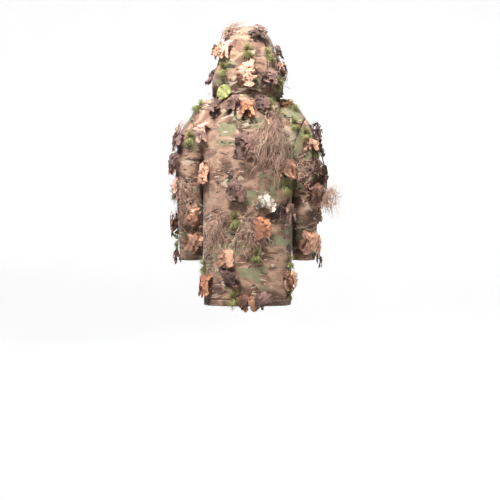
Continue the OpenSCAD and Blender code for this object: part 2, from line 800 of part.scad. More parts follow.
module hood_tan_leaves() {
    color(tan_colour)
        leaves(hood_skin, [[0.38, 0.42, -100, 1.05], [0.5, 0.17, -90, 1.1], [0.72, 0.42, -80, 0.8],
            [0.4, 0.08, 180, 0.65], [0.22, 0.84, -60, 0.8, 6], [0.3, 0.68, -60, 0.85]]);
}
module hood_brown_leaves() {
    color(brown_colour)
        leaves(hood_skin, [[0.56, 0.62, -40, 1.04], [0.67, 0.52, -60, 0.75], [0.58, 0.17, -70, 0.64],
            [0.76, 0.84, -110, 0.85, 6.4], [0.24, 0.42, -70, 0.85]], brown_height);
}
module hood_grass() {
    color(grass_colour)
        grass(hood_skin, [[0.39, 0.24, 0, 0.8], [0.5, 0.38, 0, 0.85], [0.59, 0.37, 0, 0.85], [0.64, 0.12, 0, 0.7]]);
}
module hood_raffia() {
    color(raffia_colour)
        raffia(hood_skin, [[0.46, 0.73, -140, 0.67], [0.16, 0.46, -100, 0.6], [0.74, 0.6, -90, 0.5]]);
}

// ---------- Parts ----------

back_panel();
side_panel();  // side_panel_left
mirrored() side_panel();  // side_panel_right
yoke();  // yoke_left
mirrored() yoke();  // yoke_right
hem_back();
neck_binding();
neck_label();
hanger_loop();
zip_tape_upper();
zip_teeth_upper();
upper_slider_place() slider();  // zip_slider_upper
upper_slider_place() pull_tab();  // zip_pull_upper
front_panel();  // front_left
mirrored() front_panel();  // front_right
hem_front();  // hem_left
mirrored() hem_front();  // hem_right
zip_tape_lower();  // zip_tape_left
mirrored() zip_tape_lower();  // zip_tape_right
zip_teeth_lower();  // zip_teeth_left
mirrored() zip_teeth_lower();  // zip_teeth_right
lower_slider_place() slider();  // zip_slider_lower
lower_slider_place() pull_tab();  // zip_pull_lower
pocket();  // pocket_left
mirrored() pocket();  // pocket_right
pocket_flap();  // pocket_flap_left
mirrored() pocket_flap();  // pocket_flap_right
flap_button();  // flap_button_left
mirrored() flap_button();  // flap_button_right
sleeve();  // sleeve_left
mirrored() sleeve();  // sleeve_right
cuff();  // cuff_left
mirrored() cuff();  // cuff_right
hood_side();  // hood_side_left
hood_crown();
mirrored() hood_side();  // hood_side_right
hood_brim();
body_tan_leaves();
body_brown_leaves();
body_grass();
body_raffia();
front_left_leaves();
front_right_leaves();
front_left_grass();
front_right_grass();
sleeve_left_leaves();
sleeve_left_grass();
sleeve_left_raffia();
sleeve_right_leaves();
sleeve_right_grass();
sleeve_right_raffia();
hood_tan_leaves();
hood_brown_leaves();
hood_grass();
hood_raffia();
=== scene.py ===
"""Hooded ghillie jacket: cloth panels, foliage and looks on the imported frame. Metres, +Z up, -Y front."""

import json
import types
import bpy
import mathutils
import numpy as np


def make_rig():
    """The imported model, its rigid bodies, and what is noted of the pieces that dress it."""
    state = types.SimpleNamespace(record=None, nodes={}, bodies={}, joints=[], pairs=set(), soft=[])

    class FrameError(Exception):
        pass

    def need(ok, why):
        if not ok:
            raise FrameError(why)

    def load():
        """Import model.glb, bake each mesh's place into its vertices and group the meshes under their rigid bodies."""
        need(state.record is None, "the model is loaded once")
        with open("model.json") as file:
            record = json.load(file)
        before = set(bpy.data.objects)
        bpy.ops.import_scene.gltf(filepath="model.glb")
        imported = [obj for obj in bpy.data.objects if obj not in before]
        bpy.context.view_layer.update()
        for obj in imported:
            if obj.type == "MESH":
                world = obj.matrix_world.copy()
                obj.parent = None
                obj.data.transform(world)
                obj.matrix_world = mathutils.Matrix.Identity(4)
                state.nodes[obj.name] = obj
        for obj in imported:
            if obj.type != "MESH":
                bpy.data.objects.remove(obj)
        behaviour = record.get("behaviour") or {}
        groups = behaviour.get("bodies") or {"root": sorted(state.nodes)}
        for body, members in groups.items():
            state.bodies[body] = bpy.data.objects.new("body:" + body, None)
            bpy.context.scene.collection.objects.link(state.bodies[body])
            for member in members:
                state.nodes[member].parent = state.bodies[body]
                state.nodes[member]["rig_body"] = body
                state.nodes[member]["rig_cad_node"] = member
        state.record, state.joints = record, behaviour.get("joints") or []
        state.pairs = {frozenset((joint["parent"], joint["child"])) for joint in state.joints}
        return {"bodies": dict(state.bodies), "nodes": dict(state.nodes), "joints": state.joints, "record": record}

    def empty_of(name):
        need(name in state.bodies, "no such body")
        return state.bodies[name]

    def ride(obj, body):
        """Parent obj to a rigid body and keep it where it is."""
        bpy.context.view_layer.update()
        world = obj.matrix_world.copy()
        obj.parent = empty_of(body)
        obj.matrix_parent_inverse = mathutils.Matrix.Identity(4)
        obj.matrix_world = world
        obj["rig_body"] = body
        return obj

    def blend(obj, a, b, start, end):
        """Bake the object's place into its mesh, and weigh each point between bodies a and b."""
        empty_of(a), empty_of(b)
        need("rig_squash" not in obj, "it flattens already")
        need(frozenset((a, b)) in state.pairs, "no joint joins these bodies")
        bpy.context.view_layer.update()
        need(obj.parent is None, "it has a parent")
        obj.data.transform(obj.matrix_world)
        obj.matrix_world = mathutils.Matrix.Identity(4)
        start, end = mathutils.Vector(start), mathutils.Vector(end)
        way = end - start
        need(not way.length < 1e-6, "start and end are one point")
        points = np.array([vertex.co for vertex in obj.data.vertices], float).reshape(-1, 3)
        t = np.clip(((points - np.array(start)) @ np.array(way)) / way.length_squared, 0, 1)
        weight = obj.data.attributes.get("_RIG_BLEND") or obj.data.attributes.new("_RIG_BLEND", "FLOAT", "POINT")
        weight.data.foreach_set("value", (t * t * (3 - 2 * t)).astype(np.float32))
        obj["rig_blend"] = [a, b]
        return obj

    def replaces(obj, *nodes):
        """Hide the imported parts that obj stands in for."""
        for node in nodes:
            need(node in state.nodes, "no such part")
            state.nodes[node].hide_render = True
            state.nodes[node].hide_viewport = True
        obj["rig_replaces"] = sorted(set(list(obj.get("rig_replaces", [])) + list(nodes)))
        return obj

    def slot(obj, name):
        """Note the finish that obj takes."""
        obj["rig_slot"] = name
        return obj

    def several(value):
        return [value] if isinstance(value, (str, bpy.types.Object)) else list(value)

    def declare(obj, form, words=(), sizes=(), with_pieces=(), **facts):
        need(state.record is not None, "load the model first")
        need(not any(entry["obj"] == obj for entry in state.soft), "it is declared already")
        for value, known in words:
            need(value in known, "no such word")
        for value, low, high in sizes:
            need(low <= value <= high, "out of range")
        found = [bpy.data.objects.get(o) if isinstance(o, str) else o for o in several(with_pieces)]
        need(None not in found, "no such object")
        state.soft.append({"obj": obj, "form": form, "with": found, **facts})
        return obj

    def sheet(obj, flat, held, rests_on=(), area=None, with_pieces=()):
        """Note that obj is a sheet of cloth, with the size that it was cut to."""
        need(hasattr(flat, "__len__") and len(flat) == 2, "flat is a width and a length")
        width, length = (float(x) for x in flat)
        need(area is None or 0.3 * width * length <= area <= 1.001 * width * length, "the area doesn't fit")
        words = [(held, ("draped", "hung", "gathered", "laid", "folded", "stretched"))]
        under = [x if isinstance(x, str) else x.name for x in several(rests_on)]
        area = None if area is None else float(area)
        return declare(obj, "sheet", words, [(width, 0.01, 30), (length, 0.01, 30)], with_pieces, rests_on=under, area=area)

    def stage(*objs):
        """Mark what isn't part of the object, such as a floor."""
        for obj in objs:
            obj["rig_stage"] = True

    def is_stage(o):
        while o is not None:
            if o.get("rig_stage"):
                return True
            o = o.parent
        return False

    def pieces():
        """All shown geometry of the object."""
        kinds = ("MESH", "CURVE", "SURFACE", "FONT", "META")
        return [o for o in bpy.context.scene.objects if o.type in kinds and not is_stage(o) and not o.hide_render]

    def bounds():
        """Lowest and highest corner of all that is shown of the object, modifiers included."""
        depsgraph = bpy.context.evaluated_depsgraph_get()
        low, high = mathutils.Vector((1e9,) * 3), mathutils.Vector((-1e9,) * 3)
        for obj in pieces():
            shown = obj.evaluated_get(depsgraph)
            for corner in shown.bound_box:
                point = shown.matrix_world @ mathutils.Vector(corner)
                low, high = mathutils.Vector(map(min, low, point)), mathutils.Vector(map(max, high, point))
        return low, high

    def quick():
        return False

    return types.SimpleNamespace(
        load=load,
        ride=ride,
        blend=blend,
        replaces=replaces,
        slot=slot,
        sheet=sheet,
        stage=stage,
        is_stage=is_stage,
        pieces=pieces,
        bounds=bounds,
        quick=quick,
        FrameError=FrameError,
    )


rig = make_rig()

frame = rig.load()
cad_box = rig.bounds()

import json
import math

import bmesh
import bpy
import numpy as np
from mathutils import Vector
from mathutils.bvhtree import BVHTree

SCENE = bpy.context.scene
NODES = frame["nodes"]

# ---------- camera

CAMERA_X, CAMERA_DISTANCE, CAMERA_DROP = -0.010, 5.5, 0.64
LENS = 95.0
FLOOR_Z = -1.53
SWEEP_Y, SWEEP_BEND, SWEEP_TOP, STAGE_REACH = -5.5, 1.2, 7.0, 9.0
BACKDROP_GLOW = 0.66
GLOW_FADE = (1.2, 0.4)


def place_object(name, data):
    thing = bpy.data.objects.new(name, data)
    SCENE.collection.objects.link(thing)
    return thing


def make_camera():
    data = bpy.data.cameras.new("camera")
    data.lens = LENS
    data.sensor_width = 36
    camera = place_object("camera", data)
    camera.location = (CAMERA_X, CAMERA_DISTANCE, -CAMERA_DROP)
    camera.rotation_euler = (math.radians(90), 0, math.radians(180))
    SCENE.camera = camera


make_camera()

# ---------- the jacket's shape
# The same surfaces as the CAD panels, in metres. Angles are in degrees.

SQUARENESS = 2.4
POWER = 2 / SQUARENESS
HEM_Z, HEM_TOP_Z, WAIST_Z, CHEST_Z = -0.853, -0.827, -0.480, -0.260
RIBS_Z = CHEST_Z - 0.11
SHOULDER_HALF_WIDTH, SHOULDER_Z = 0.232, -0.080
ARMHOLE_HALF_DEPTH, ARMHOLE_CUT, SHOULDER_PADDING = 0.078, 0.012, 0.025
CHEST_HALF_WIDTH, WAIST_HALF_WIDTH, HEM_HALF_WIDTH = 0.184, 0.182, 0.187
YOKE_SPLIT = 0.34
DOOR_SEAM_Y = 0.075
ZIP_HALF_GAP = 0.004
NECK_HALF_WIDTH, NECK_HALF_DEPTH, NECK_TILT = 0.112, 0.098, 8.7
CUFF_Z, CUFF_TOP_Z, CAP_BASE_Z = -0.669, -0.621, -0.310
CUFF_RADIUS, SLEEVE_FORWARD = 0.046, 0.068
SLEEVE_X_HIGH, SLEEVE_X_LOW = 0.246, 0.240
CAP_SLOPE, CAP_FULLNESS = 0.7, 0.046
BACK_HEM, BACK_WAIST, BACK_CHEST = 0.140, 0.124, 0.142
FRONT_HEM, FRONT_CHEST = 0.136, 0.126
BRIM_START, BRIM_END = 91.2, 97.0
THROAT_ANGLE = 14.0
CROWN_ANGLE = 31.0


def signed_power(v, p):
    return np.sign(v) * np.abs(v) ** p


def sin(a):
    return np.sin(np.radians(a))


def cos(a):
    return np.cos(np.radians(a))


def mix(a, b, t):
    return a * (1 - t) + b * t


def vec(*parts):
    return np.stack(np.broadcast_arrays(*parts), axis=-1).astype(float)


def joined(stops, steps):
    """Evenly spaced values from stop to stop, with each stop once."""
    runs = [np.linspace(a, b, n + 1)[1:] for a, b, n in zip(stops, stops[1:], steps)]
    return np.concatenate([[stops[0]], *runs])


def body_half_width(z):
    ribs = mix(WAIST_HALF_WIDTH, CHEST_HALF_WIDTH, 0.4)
    return np.interp(z, [HEM_Z, WAIST_Z, RIBS_Z, CHEST_Z],
                     [HEM_HALF_WIDTH, WAIST_HALF_WIDTH, ribs, CHEST_HALF_WIDTH])


def body_back(z):
    ribs = mix(BACK_WAIST, BACK_CHEST, 0.6)
    return np.interp(z, [HEM_Z, WAIST_Z, RIBS_Z, CHEST_Z], [BACK_HEM, BACK_WAIST, ribs, BACK_CHEST])


def body_front(z):
    return np.interp(z, [HEM_Z, CHEST_Z], [FRONT_HEM, FRONT_CHEST])


def body_point(z, angle):
    depth = np.where(sin(angle) > 0, body_back(z), body_front(z))
    x = body_half_width(z) * signed_power(cos(angle), POWER)
    return vec(x, depth * signed_power(sin(angle), POWER), z)


def front_angle_at_x(z, x):
    return -np.degrees(np.arccos((x / body_half_width(z)) ** (SQUARENESS / 2)))


def front_angle_at_y(z, y):
    return -np.degrees(np.arcsin((y / body_front(z)) ** (SQUARENESS / 2)))


def neck_point(angle):
    run = NECK_HALF_DEPTH * signed_power(sin(angle), POWER)
    return vec(NECK_HALF_WIDTH * signed_power(cos(angle), POWER), run * cos(NECK_TILT), run * sin(NECK_TILT))


def armhole_point(angle):
    rise = (1 - cos(angle)) / 2
    return vec(mix(CHEST_HALF_WIDTH, SHOULDER_HALF_WIDTH, rise) - ARMHOLE_CUT * sin(angle) ** 2,
               ARMHOLE_HALF_DEPTH * sin(angle), mix(CHEST_Z, SHOULDER_Z, rise))


def top_edge(u, neck_start, neck_end):
    t = np.clip(u / YOKE_SPLIT, 0, 1)[..., None]
    seam = mix(armhole_point(180.0), neck_point(neck_start), t)
    seam = seam + SHOULDER_PADDING * np.sin(np.pi * t) * np.array([0.4, 0, 1])
    neck = neck_point(mix(neck_start, neck_end, np.clip((u - YOKE_SPLIT) / (1 - YOKE_SPLIT), 0, 1)))
    return np.where(u[..., None] < YOKE_SPLIT, seam, neck)


def armhole_swell(v, side):
    return armhole_point(180 * v * side) - mix(armhole_point(0.0), armhole_point(180.0), v[..., None])


def upper_back_half(u, v):
    flat = mix(body_point(CHEST_Z, 180 * u), top_edge(2 * u, 0.0, 90.0), v[..., None])
    swell = ((1 - 2 * u) ** 2)[..., None] * armhole_swell(v, 1)
    return flat + swell + (0.024 * sin(180 * v) * sin(180 * u))[..., None] * np.array([0, 0.8, 0.4])


def upper_back(u, v):
    mirror = np.array([-1, 1, 1])
    left = upper_back_half(np.minimum(u, 0.5), v)
    right = upper_back_half(np.minimum(1 - u, 0.5), v) * mirror
    return np.where((u <= 0.5)[..., None], left, right)


CHEST_END = float(front_angle_at_x(CHEST_Z, ZIP_HALF_GAP))
NECK_END = -math.degrees(math.acos((ZIP_HALF_GAP / NECK_HALF_WIDTH) ** (SQUARENESS / 2)))
DOOR_SEAM_U = float(front_angle_at_y(CHEST_Z, DOOR_SEAM_Y)) / CHEST_END


def upper_front(u, v):
    flat = mix(body_point(CHEST_Z, CHEST_END * u), top_edge(u, 0.0, NECK_END), v[..., None])
    swell = ((1 - u) ** 2)[..., None] * armhole_swell(v, -1)
    return flat + swell + (0.014 * sin(180 * v) * sin(180 * u))[..., None] * np.array([0, -1, 0.3])


def lower_front(u, z):
    seam, edge = front_angle_at_y(z, DOOR_SEAM_Y), front_angle_at_x(z, ZIP_HALF_GAP)
    side = seam * u / DOOR_SEAM_U
    door = seam + (edge - seam) * (u - DOOR_SEAM_U) / (1 - DOOR_SEAM_U)
    return body_point(z, np.where(u < DOOR_SEAM_U, side, door))


def sleeve_ring(z, angle):
    s = (CAP_BASE_Z - z) / (CAP_BASE_Z - CUFF_Z)
    hang = np.clip(s, 0, None) ** 1.6
    half_width, half_depth = mix(0.056, CUFF_RADIUS, s), mix(0.062, CUFF_RADIUS, s)
    return vec(mix(SLEEVE_X_HIGH, SLEEVE_X_LOW, s) + half_width * cos(angle),
               -SLEEVE_FORWARD * hang + half_depth * sin(angle), z)


def cap_point(s, angle):
    high, s = (1 + cos(angle))[..., None] / 2, s[..., None]
    outward = np.array([1, 0, -CAP_SLOPE])
    low_end, top_end = sleeve_ring(CAP_BASE_Z, angle), armhole_point(180 - angle)
    low_pull = low_end + mix(0.012, 0.110, high) * np.array([0, 0, 1])
    top_pull = top_end + mix(0.016, CAP_FULLNESS, high) * outward
    return ((1 - s) ** 3 * low_end + 3 * (1 - s) ** 2 * s * low_pull
            + 3 * (1 - s) * s * s * top_pull + s ** 3 * top_end)


def hood_point(fan, angle):
    half_width = np.interp(fan, [NECK_TILT, 14, 20, 40, 60, 75, 90, BRIM_END],
                           [NECK_HALF_WIDTH, 0.153, 0.160, 0.140, 0.124, 0.119, 0.117, 0.117])
    length = np.interp(fan, [NECK_TILT, 14, 20, 30, 45, 60, 75, 90, BRIM_END],
                       [0.196, 0.208, 0.224, 0.256, 0.292, 0.312, 0.320, 0.316, 0.314])
    reach = length / 2 * (1 - signed_power(cos(angle), POWER))
    throat = -NECK_HALF_DEPTH * np.array([0, cos(NECK_TILT), sin(NECK_TILT)])
    return throat + vec(half_width * signed_power(sin(angle), POWER), reach * cos(fan), reach * sin(fan))


# ---------- one garment mesh

PANELS = ["back_panel", "side_panel_left", "side_panel_right", "yoke_left", "yoke_right", "front_left",
          "front_right", "hem_back", "hem_left", "hem_right", "sleeve_left", "sleeve_right", "cuff_left",
          "cuff_right", "hood_side_left", "hood_crown", "hood_side_right", "hood_brim"]
PANEL_ID = {name: k for k, name in enumerate(PANELS)}

SEAM_STEPS, NECK_STEPS, RISE_STEPS, THROAT_STEPS = 13, 26, 30, 22
THROAT_GAP_STEPS, HEM_STEPS, BODY_STEPS = 3, 4, 79
U_BACK_HALF = joined([0, YOKE_SPLIT / 2, 0.5], [SEAM_STEPS, NECK_STEPS])
U_BACK = np.concatenate([U_BACK_HALF, 1 - U_BACK_HALF[-2::-1]])
NECK_FRONT = joined([0, THROAT_ANGLE - 90, NECK_END], [THROAT_STEPS, THROAT_GAP_STEPS])
U_FRONT = np.sort(np.concatenate([np.linspace(0, YOKE_SPLIT, SEAM_STEPS + 1), [DOOR_SEAM_U],
                                  (YOKE_SPLIT + (1 - YOKE_SPLIT) * NECK_FRONT / NECK_END)[1:]]))
BODY_ROWS = joined([HEM_Z, HEM_TOP_Z, CHEST_Z], [HEM_STEPS, BODY_STEPS])
RISE = np.linspace(0, 1, RISE_STEPS + 1)


class Garment:
    """Collects grids of points with a panel name and a cloth coordinate for each point."""

    def __init__(self):
        self.points, self.cloth, self.faces, self.panels = [], [], [], []

    def add(self, grid, panel_of, closed=False):
        rows, columns, _ = grid.shape
        base = sum(len(p) for p in self.points)
        across = np.linalg.norm(np.diff(grid, axis=1), axis=2).mean(0)
        up = np.linalg.norm(np.diff(grid, axis=0), axis=2).mean(1)
        u = np.concatenate([[0], np.cumsum(across)])
        v = np.concatenate([[0], np.cumsum(up)])
        step = np.linalg.norm(grid[:, 0] - grid[:, -1], axis=1).mean() if closed else 0
        u = np.append(u, u[-1] + step)
        self.points.append(grid.reshape(-1, 3))
        for i in range(rows - 1):
            for j in range(columns if closed else columns - 1):
                a, b = base + i * columns + j, base + i * columns + (j + 1) % columns
                self.faces.append((a, b, b + columns, a + columns))
                self.panels.append(PANEL_ID[panel_of(i, j)])
                self.cloth += [u[j], v[i], u[j + 1], v[i], u[j + 1], v[i + 1], u[j], v[i + 1]]

    def object(self, name):
        mesh = bpy.data.meshes.new(name)
        points = np.concatenate(self.points)
        mesh.from_pydata(points.tolist(), [], self.faces)
        mesh.attributes.new("rest", "FLOAT_VECTOR", "POINT").data.foreach_set("vector", points.ravel())
        mesh.attributes.new("cloth", "FLOAT2", "CORNER").data.foreach_set("vector", self.cloth)
        mesh.attributes.new("panel", "INT", "FACE").data.foreach_set("value", self.panels)
        bm = bmesh.new()
        bm.from_mesh(mesh)
        bmesh.ops.remove_doubles(bm, verts=bm.verts, dist=0.0004)
        bm.to_mesh(mesh)
        bm.free()
        return place_object(name, mesh)


def mirror_grid(grid):
    return (grid * np.array([-1, 1, 1]))[:, ::-1]


HEM_ROWS = int(np.searchsorted(BODY_ROWS, HEM_TOP_Z - 1e-6))
CUFF_ROWS, ARM_ROWS, CAP_ROWS = 7, 45, 14
COLLAR_ROWS, HOOD_ROWS, BRIM_ROWS = 8, 35, 4
HOOD_TURN = 20


def add_back(g):
    u, z = np.meshgrid(U_BACK, BODY_ROWS)
    back = np.concatenate([body_point(z, 180 * u), upper_back(*np.meshgrid(U_BACK, RISE))[1:]])
    g.add(back, lambda i, j: "hem_back" if i < HEM_ROWS else "back_panel")


def add_front(g, side, place):
    """One side of the front: hem, side panel and door below the chest, and the yoke above it."""
    columns = U_FRONT[::-1]
    doors = int(np.searchsorted(-columns, -DOOR_SEAM_U))
    last = len(columns) - 2

    def lower_name(i, j):
        door = (j if side == "left" else last - j) < doors
        if i < HEM_ROWS:
            return f"hem_{side}" if door else "hem_back"
        return f"front_{side}" if door else f"side_panel_{side}"

    u, z = np.meshgrid(columns, BODY_ROWS)
    g.add(place(lower_front(u, z)), lower_name)
    g.add(place(upper_front(*np.meshgrid(columns, RISE))), lambda i, j: f"yoke_{side}")


def add_sleeve(g, side, place):
    angles = np.concatenate([180 - 180 * RISE[::-1], 180 + 180 * RISE[1:-1]])
    heights = joined([CUFF_Z, CUFF_TOP_Z, CAP_BASE_Z], [CUFF_ROWS, ARM_ROWS])
    tube = sleeve_ring(*np.meshgrid(heights, angles, indexing="ij"))
    cap = cap_point(*np.meshgrid(np.linspace(0, 1, CAP_ROWS + 1)[1:], angles, indexing="ij"))
    g.add(place(np.concatenate([tube, cap])),
          lambda i, j: f"cuff_{side}" if i < CUFF_ROWS else f"sleeve_{side}", closed=True)


def add_hood(g):
    """The hood fans out from the throat. Its columns share the neck's points."""
    columns = [THROAT_STEPS, NECK_STEPS, NECK_STEPS, THROAT_STEPS]
    around = joined([THROAT_ANGLE - 90, 0, 90, 180, 270 - THROAT_ANGLE], columns) + 90
    fans = joined([NECK_TILT, HOOD_TURN, BRIM_START, BRIM_END], [COLLAR_ROWS, HOOD_ROWS, BRIM_ROWS])

    def hood_name(i, j):
        angle = (around[j] + around[j + 1]) / 2
        if fans[i] > BRIM_START - 0.01:
            return "hood_brim"
        if abs(angle - 180) < CROWN_ANGLE:
            return "hood_crown"
        return "hood_side_left" if angle < 180 else "hood_side_right"

    fan, angle = np.meshgrid(fans, around, indexing="ij")
    g.add(hood_point(fan, angle), hood_name)


def build_garment():
    g = Garment()
    add_back(g)
    for side, place in (("left", lambda grid: grid), ("right", mirror_grid)):
        add_front(g, side, place)
        add_sleeve(g, side, place)
    add_hood(g)
    return g.object("garment")


# ---------- draping

MOST_SHIFT, MOST_SHIFT_FRONT = 0.017, 0.011
HELD_NECK_RADIUS = 0.08
WEARER_GAP = 0.003
DRAPE_FRAMES = 24
SLEEVE_START_X, MOST_SLACK = 0.1885, 0.0045
CLOTH_SETTINGS = {"quality": 6, "mass": 0.35, "tension_stiffness": 12, "compression_stiffness": 12,
                  "shear_stiffness": 5, "bending_stiffness": 0.35, "shrink_min": -0.055}


def coordinates(mesh):
    co = np.empty(len(mesh.vertices) * 3)
    mesh.vertices.foreach_get("co", co)
    return co.reshape(-1, 3)


def normals(mesh):
    out = np.empty(len(mesh.vertices) * 3, np.float32)
    mesh.vertex_normals.foreach_get("vector", out)
    return out.reshape(-1, 3).astype(float)


def wearer_inset(co):
    """How far the wearer's body lies inside the cloth: close on the shoulders, loose below."""
    z = co[:, 2]
    arm = np.abs(co[:, 0]) > 0.188
    trunk = np.interp(z, [HEM_Z, WAIST_Z, CHEST_Z, -0.10, 0.02, 0.12, 0.30],
                      [0.020, 0.016, 0.013, 0.006, 0.016, 0.014, 0.008])
    return np.where(arm & (z < -0.12), np.interp(z, [CUFF_Z, -0.2, -0.12], [0.008, 0.016, 0.007]), trunk)


def make_wearer(garment):
    """A stand-in for the wearer that the cloth hangs on. It is removed after the simulation."""
    mesh = garment.data.copy()
    co = coordinates(mesh)
    mesh.vertices.foreach_set("co", (co - normals(mesh) * wearer_inset(co)[:, None]).ravel())
    wearer = place_object("wearer", mesh)
    wearer.modifiers.new("collision", "COLLISION")
    wearer.collision.thickness_outer = WEARER_GAP
    wearer.collision.cloth_friction = 20
    return wearer


def slack(rest):
    """Cloth that fills the space between the body's sides and the sleeves below the armholes."""
    x, y, z = rest.T
    side, out = np.sign(x), np.abs(x)
    level = np.interp(z, [-0.70, -0.62, -0.36, -0.28], [0, 1, 1, 0])
    body = np.where(out < SLEEVE_START_X, np.interp(out, [0.140, 0.178], [0, MOST_SLACK]), 0)
    centre = np.interp(z, [CUFF_Z, CAP_BASE_Z], [SLEEVE_X_LOW, SLEEVE_X_HIGH])
    on_sleeve = (out >= SLEEVE_START_X) & (z > HEM_TOP_Z + 0.1)
    sleeve = np.where(on_sleeve, np.interp(centre - out, [0, 0.046], [0, MOST_SLACK]), 0)
    return vec(side * (body - sleeve) * level, 0 * y, 0 * z)


def hold_front_and_throat(garment, rest):
    """Pins the cloth along the zip and round the neck."""
    held = (np.abs(rest[:, 0]) < ZIP_HALF_GAP + 0.001) & (rest[:, 1] < 0)
    held |= np.linalg.norm(rest, axis=1) < HELD_NECK_RADIUS
    group = garment.vertex_groups.new(name="held")
    group.add(np.nonzero(held)[0].tolist(), 1.0, "ADD")
    return group.name


def simulate(garment, rest):
    """Where slightly oversized cloth comes to lie on the wearer."""
    wearer = make_wearer(garment)
    cloth = garment.modifiers.new("cloth", "CLOTH")
    settings = cloth.settings
    settings.vertex_group_mass = hold_front_and_throat(garment, rest)
    for name, value in CLOTH_SETTINGS.items():
        setattr(settings, name, value)
    cloth.collision_settings.distance_min = WEARER_GAP
    cloth.collision_settings.collision_quality = 2
    for f in range(1, DRAPE_FRAMES + 1):
        SCENE.frame_set(f)
    graph = bpy.context.evaluated_depsgraph_get()
    moved = coordinates(garment.evaluated_get(graph).data)
    garment.modifiers.remove(cloth)
    SCENE.frame_set(1)
    bpy.data.objects.remove(wearer)
    return moved


def drape(garment):
    """Lets the cloth fall on the wearer, then keeps a bounded share of the motion."""
    mesh = garment.data
    rest = coordinates(mesh)
    start = rest + slack(rest)
    mesh.vertices.foreach_set("co", start.ravel())
    mesh.update()
    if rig.quick():
        return
    shift = simulate(garment, rest) - start
    most = np.interp(rest[:, 1], [-0.08, 0.0], [MOST_SHIFT_FRONT, MOST_SHIFT])
    far = np.maximum(np.linalg.norm(shift, axis=1) / most, 1)
    mesh.vertices.foreach_set("co", (start + shift / far[:, None]).ravel())
    mesh.update()


# ---------- cloth pieces

SLOT_OF = {part["node"]: part["material_slot"] for part in frame["record"]["subparts"]}
BODY_OF = {node: body for body, nodes in frame["record"]["behaviour"]["bodies"].items() for node in nodes}
FRONT_BEND_LOW = -0.56
FRONT_BEND = ((0, 0, CHEST_Z - 0.005), (0, 0, FRONT_BEND_LOW))
HOOD_BEND = ((0, 0, 0.012), (0, 0, 0.115))
SLEEVE_BEND_START, SLEEVE_BEND_END = 0.315, 0.455


def sleeve_bend(side):
    down = np.array([side, 0, -1]) / math.sqrt(2)
    return tuple(down * SLEEVE_BEND_START), tuple(down * SLEEVE_BEND_END)


def follow(piece, body):
    """Cloth and foliage near a seam bend across the joint with the cloth under them."""
    if body in ("left_front", "right_front"):
        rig.blend(piece, "jacket_body", body, *FRONT_BEND)
    elif body == "hood":
        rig.blend(piece, "jacket_body", body, *HOOD_BEND)
    elif body in ("left_sleeve", "right_sleeve"):
        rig.blend(piece, "jacket_body", body, *sleeve_bend(1 if body == "left_sleeve" else -1))
    else:
        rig.ride(piece, body)


BORDER_REACH = 0.03


def border_distance(mesh):
    """Distance of each vertex from its panel's edge, walked along the mesh and capped at 30 mm."""
    bm = bmesh.new()
    bm.from_mesh(mesh)
    distance = {v: 0.0 for v in bm.verts if v.is_boundary}
    ring = list(distance)
    for _ in range(4):
        wider = []
        for v in ring:
            for e in v.link_edges:
                w, d = e.other_vert(v), distance[v] + e.calc_length()
                if d < distance.get(w, BORDER_REACH):
                    distance[w] = d
                    wider.append(w)
        ring = wider
    values = [distance.get(v, BORDER_REACH) for v in bm.verts]
    bm.free()
    return values


CLOTH_THICKNESS, FOLDED_THICKNESS = 0.0014, 0.0034
THICK = {"hem_back", "hem_left", "hem_right", "cuff_left", "cuff_right", "hood_brim"}


def declare_sheet(piece, area, slot):
    cloth = np.empty(len(piece.data.loops) * 2)
    piece.data.attributes["cloth"].data.foreach_get("vector", cloth)
    width, length = np.ptp(cloth.reshape(-1, 2), axis=0)
    grow = max(1.0, math.sqrt(1.02 * area / (width * length)))
    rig.sheet(piece, flat=(width * grow, length * grow), held="draped", area=area)
    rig.slot(piece, slot)


def thicken(piece, thickness, offset):
    piece.data.shade_smooth()
    solid = piece.modifiers.new("thickness", "SOLIDIFY")
    solid.thickness = thickness
    solid.offset = offset
    graph = bpy.context.evaluated_depsgraph_get()
    mesh = bpy.data.meshes.new_from_object(piece.evaluated_get(graph))
    piece.modifiers.clear()
    piece.data = mesh


def finish_cloth(piece, node, material, slot, thickness, offset):
    mesh = piece.data
    mesh.attributes.new("border", "FLOAT", "POINT").data.foreach_set("value", border_distance(mesh))
    mesh.materials.append(material)
    area = sum(p.area for p in mesh.polygons)
    thicken(piece, thickness, offset)
    declare_sheet(piece, area, slot)
    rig.replaces(piece, node)
    follow(piece, BODY_OF[node])


def cut_panel(garment, name, material):
    """One panel of the draped garment, as cloth with a real thickness."""
    mesh = garment.data.copy()
    bm = bmesh.new()
    bm.from_mesh(mesh)
    layer = bm.faces.layers.int["panel"]
    bmesh.ops.delete(bm, geom=[f for f in bm.faces if f[layer] != PANEL_ID[name]], context="FACES")
    bm.to_mesh(mesh)
    bm.free()
    piece = place_object(f"{name}_cloth", mesh)
    thick = name in THICK
    slot = "hem_cloth" if thick else "camouflage_cloth"
    thickness, offset = (FOLDED_THICKNESS, -0.5) if thick else (CLOTH_THICKNESS, -1)
    finish_cloth(piece, name, material, slot, thickness, offset)


# ---------- materials


def srgb(r, g, b):
    def linear(c):
        c /= 255
        return c / 12.92 if c <= 0.04045 else ((c + 0.055) / 1.055) ** 2.4
    return (linear(r), linear(g), linear(b), 1.0)


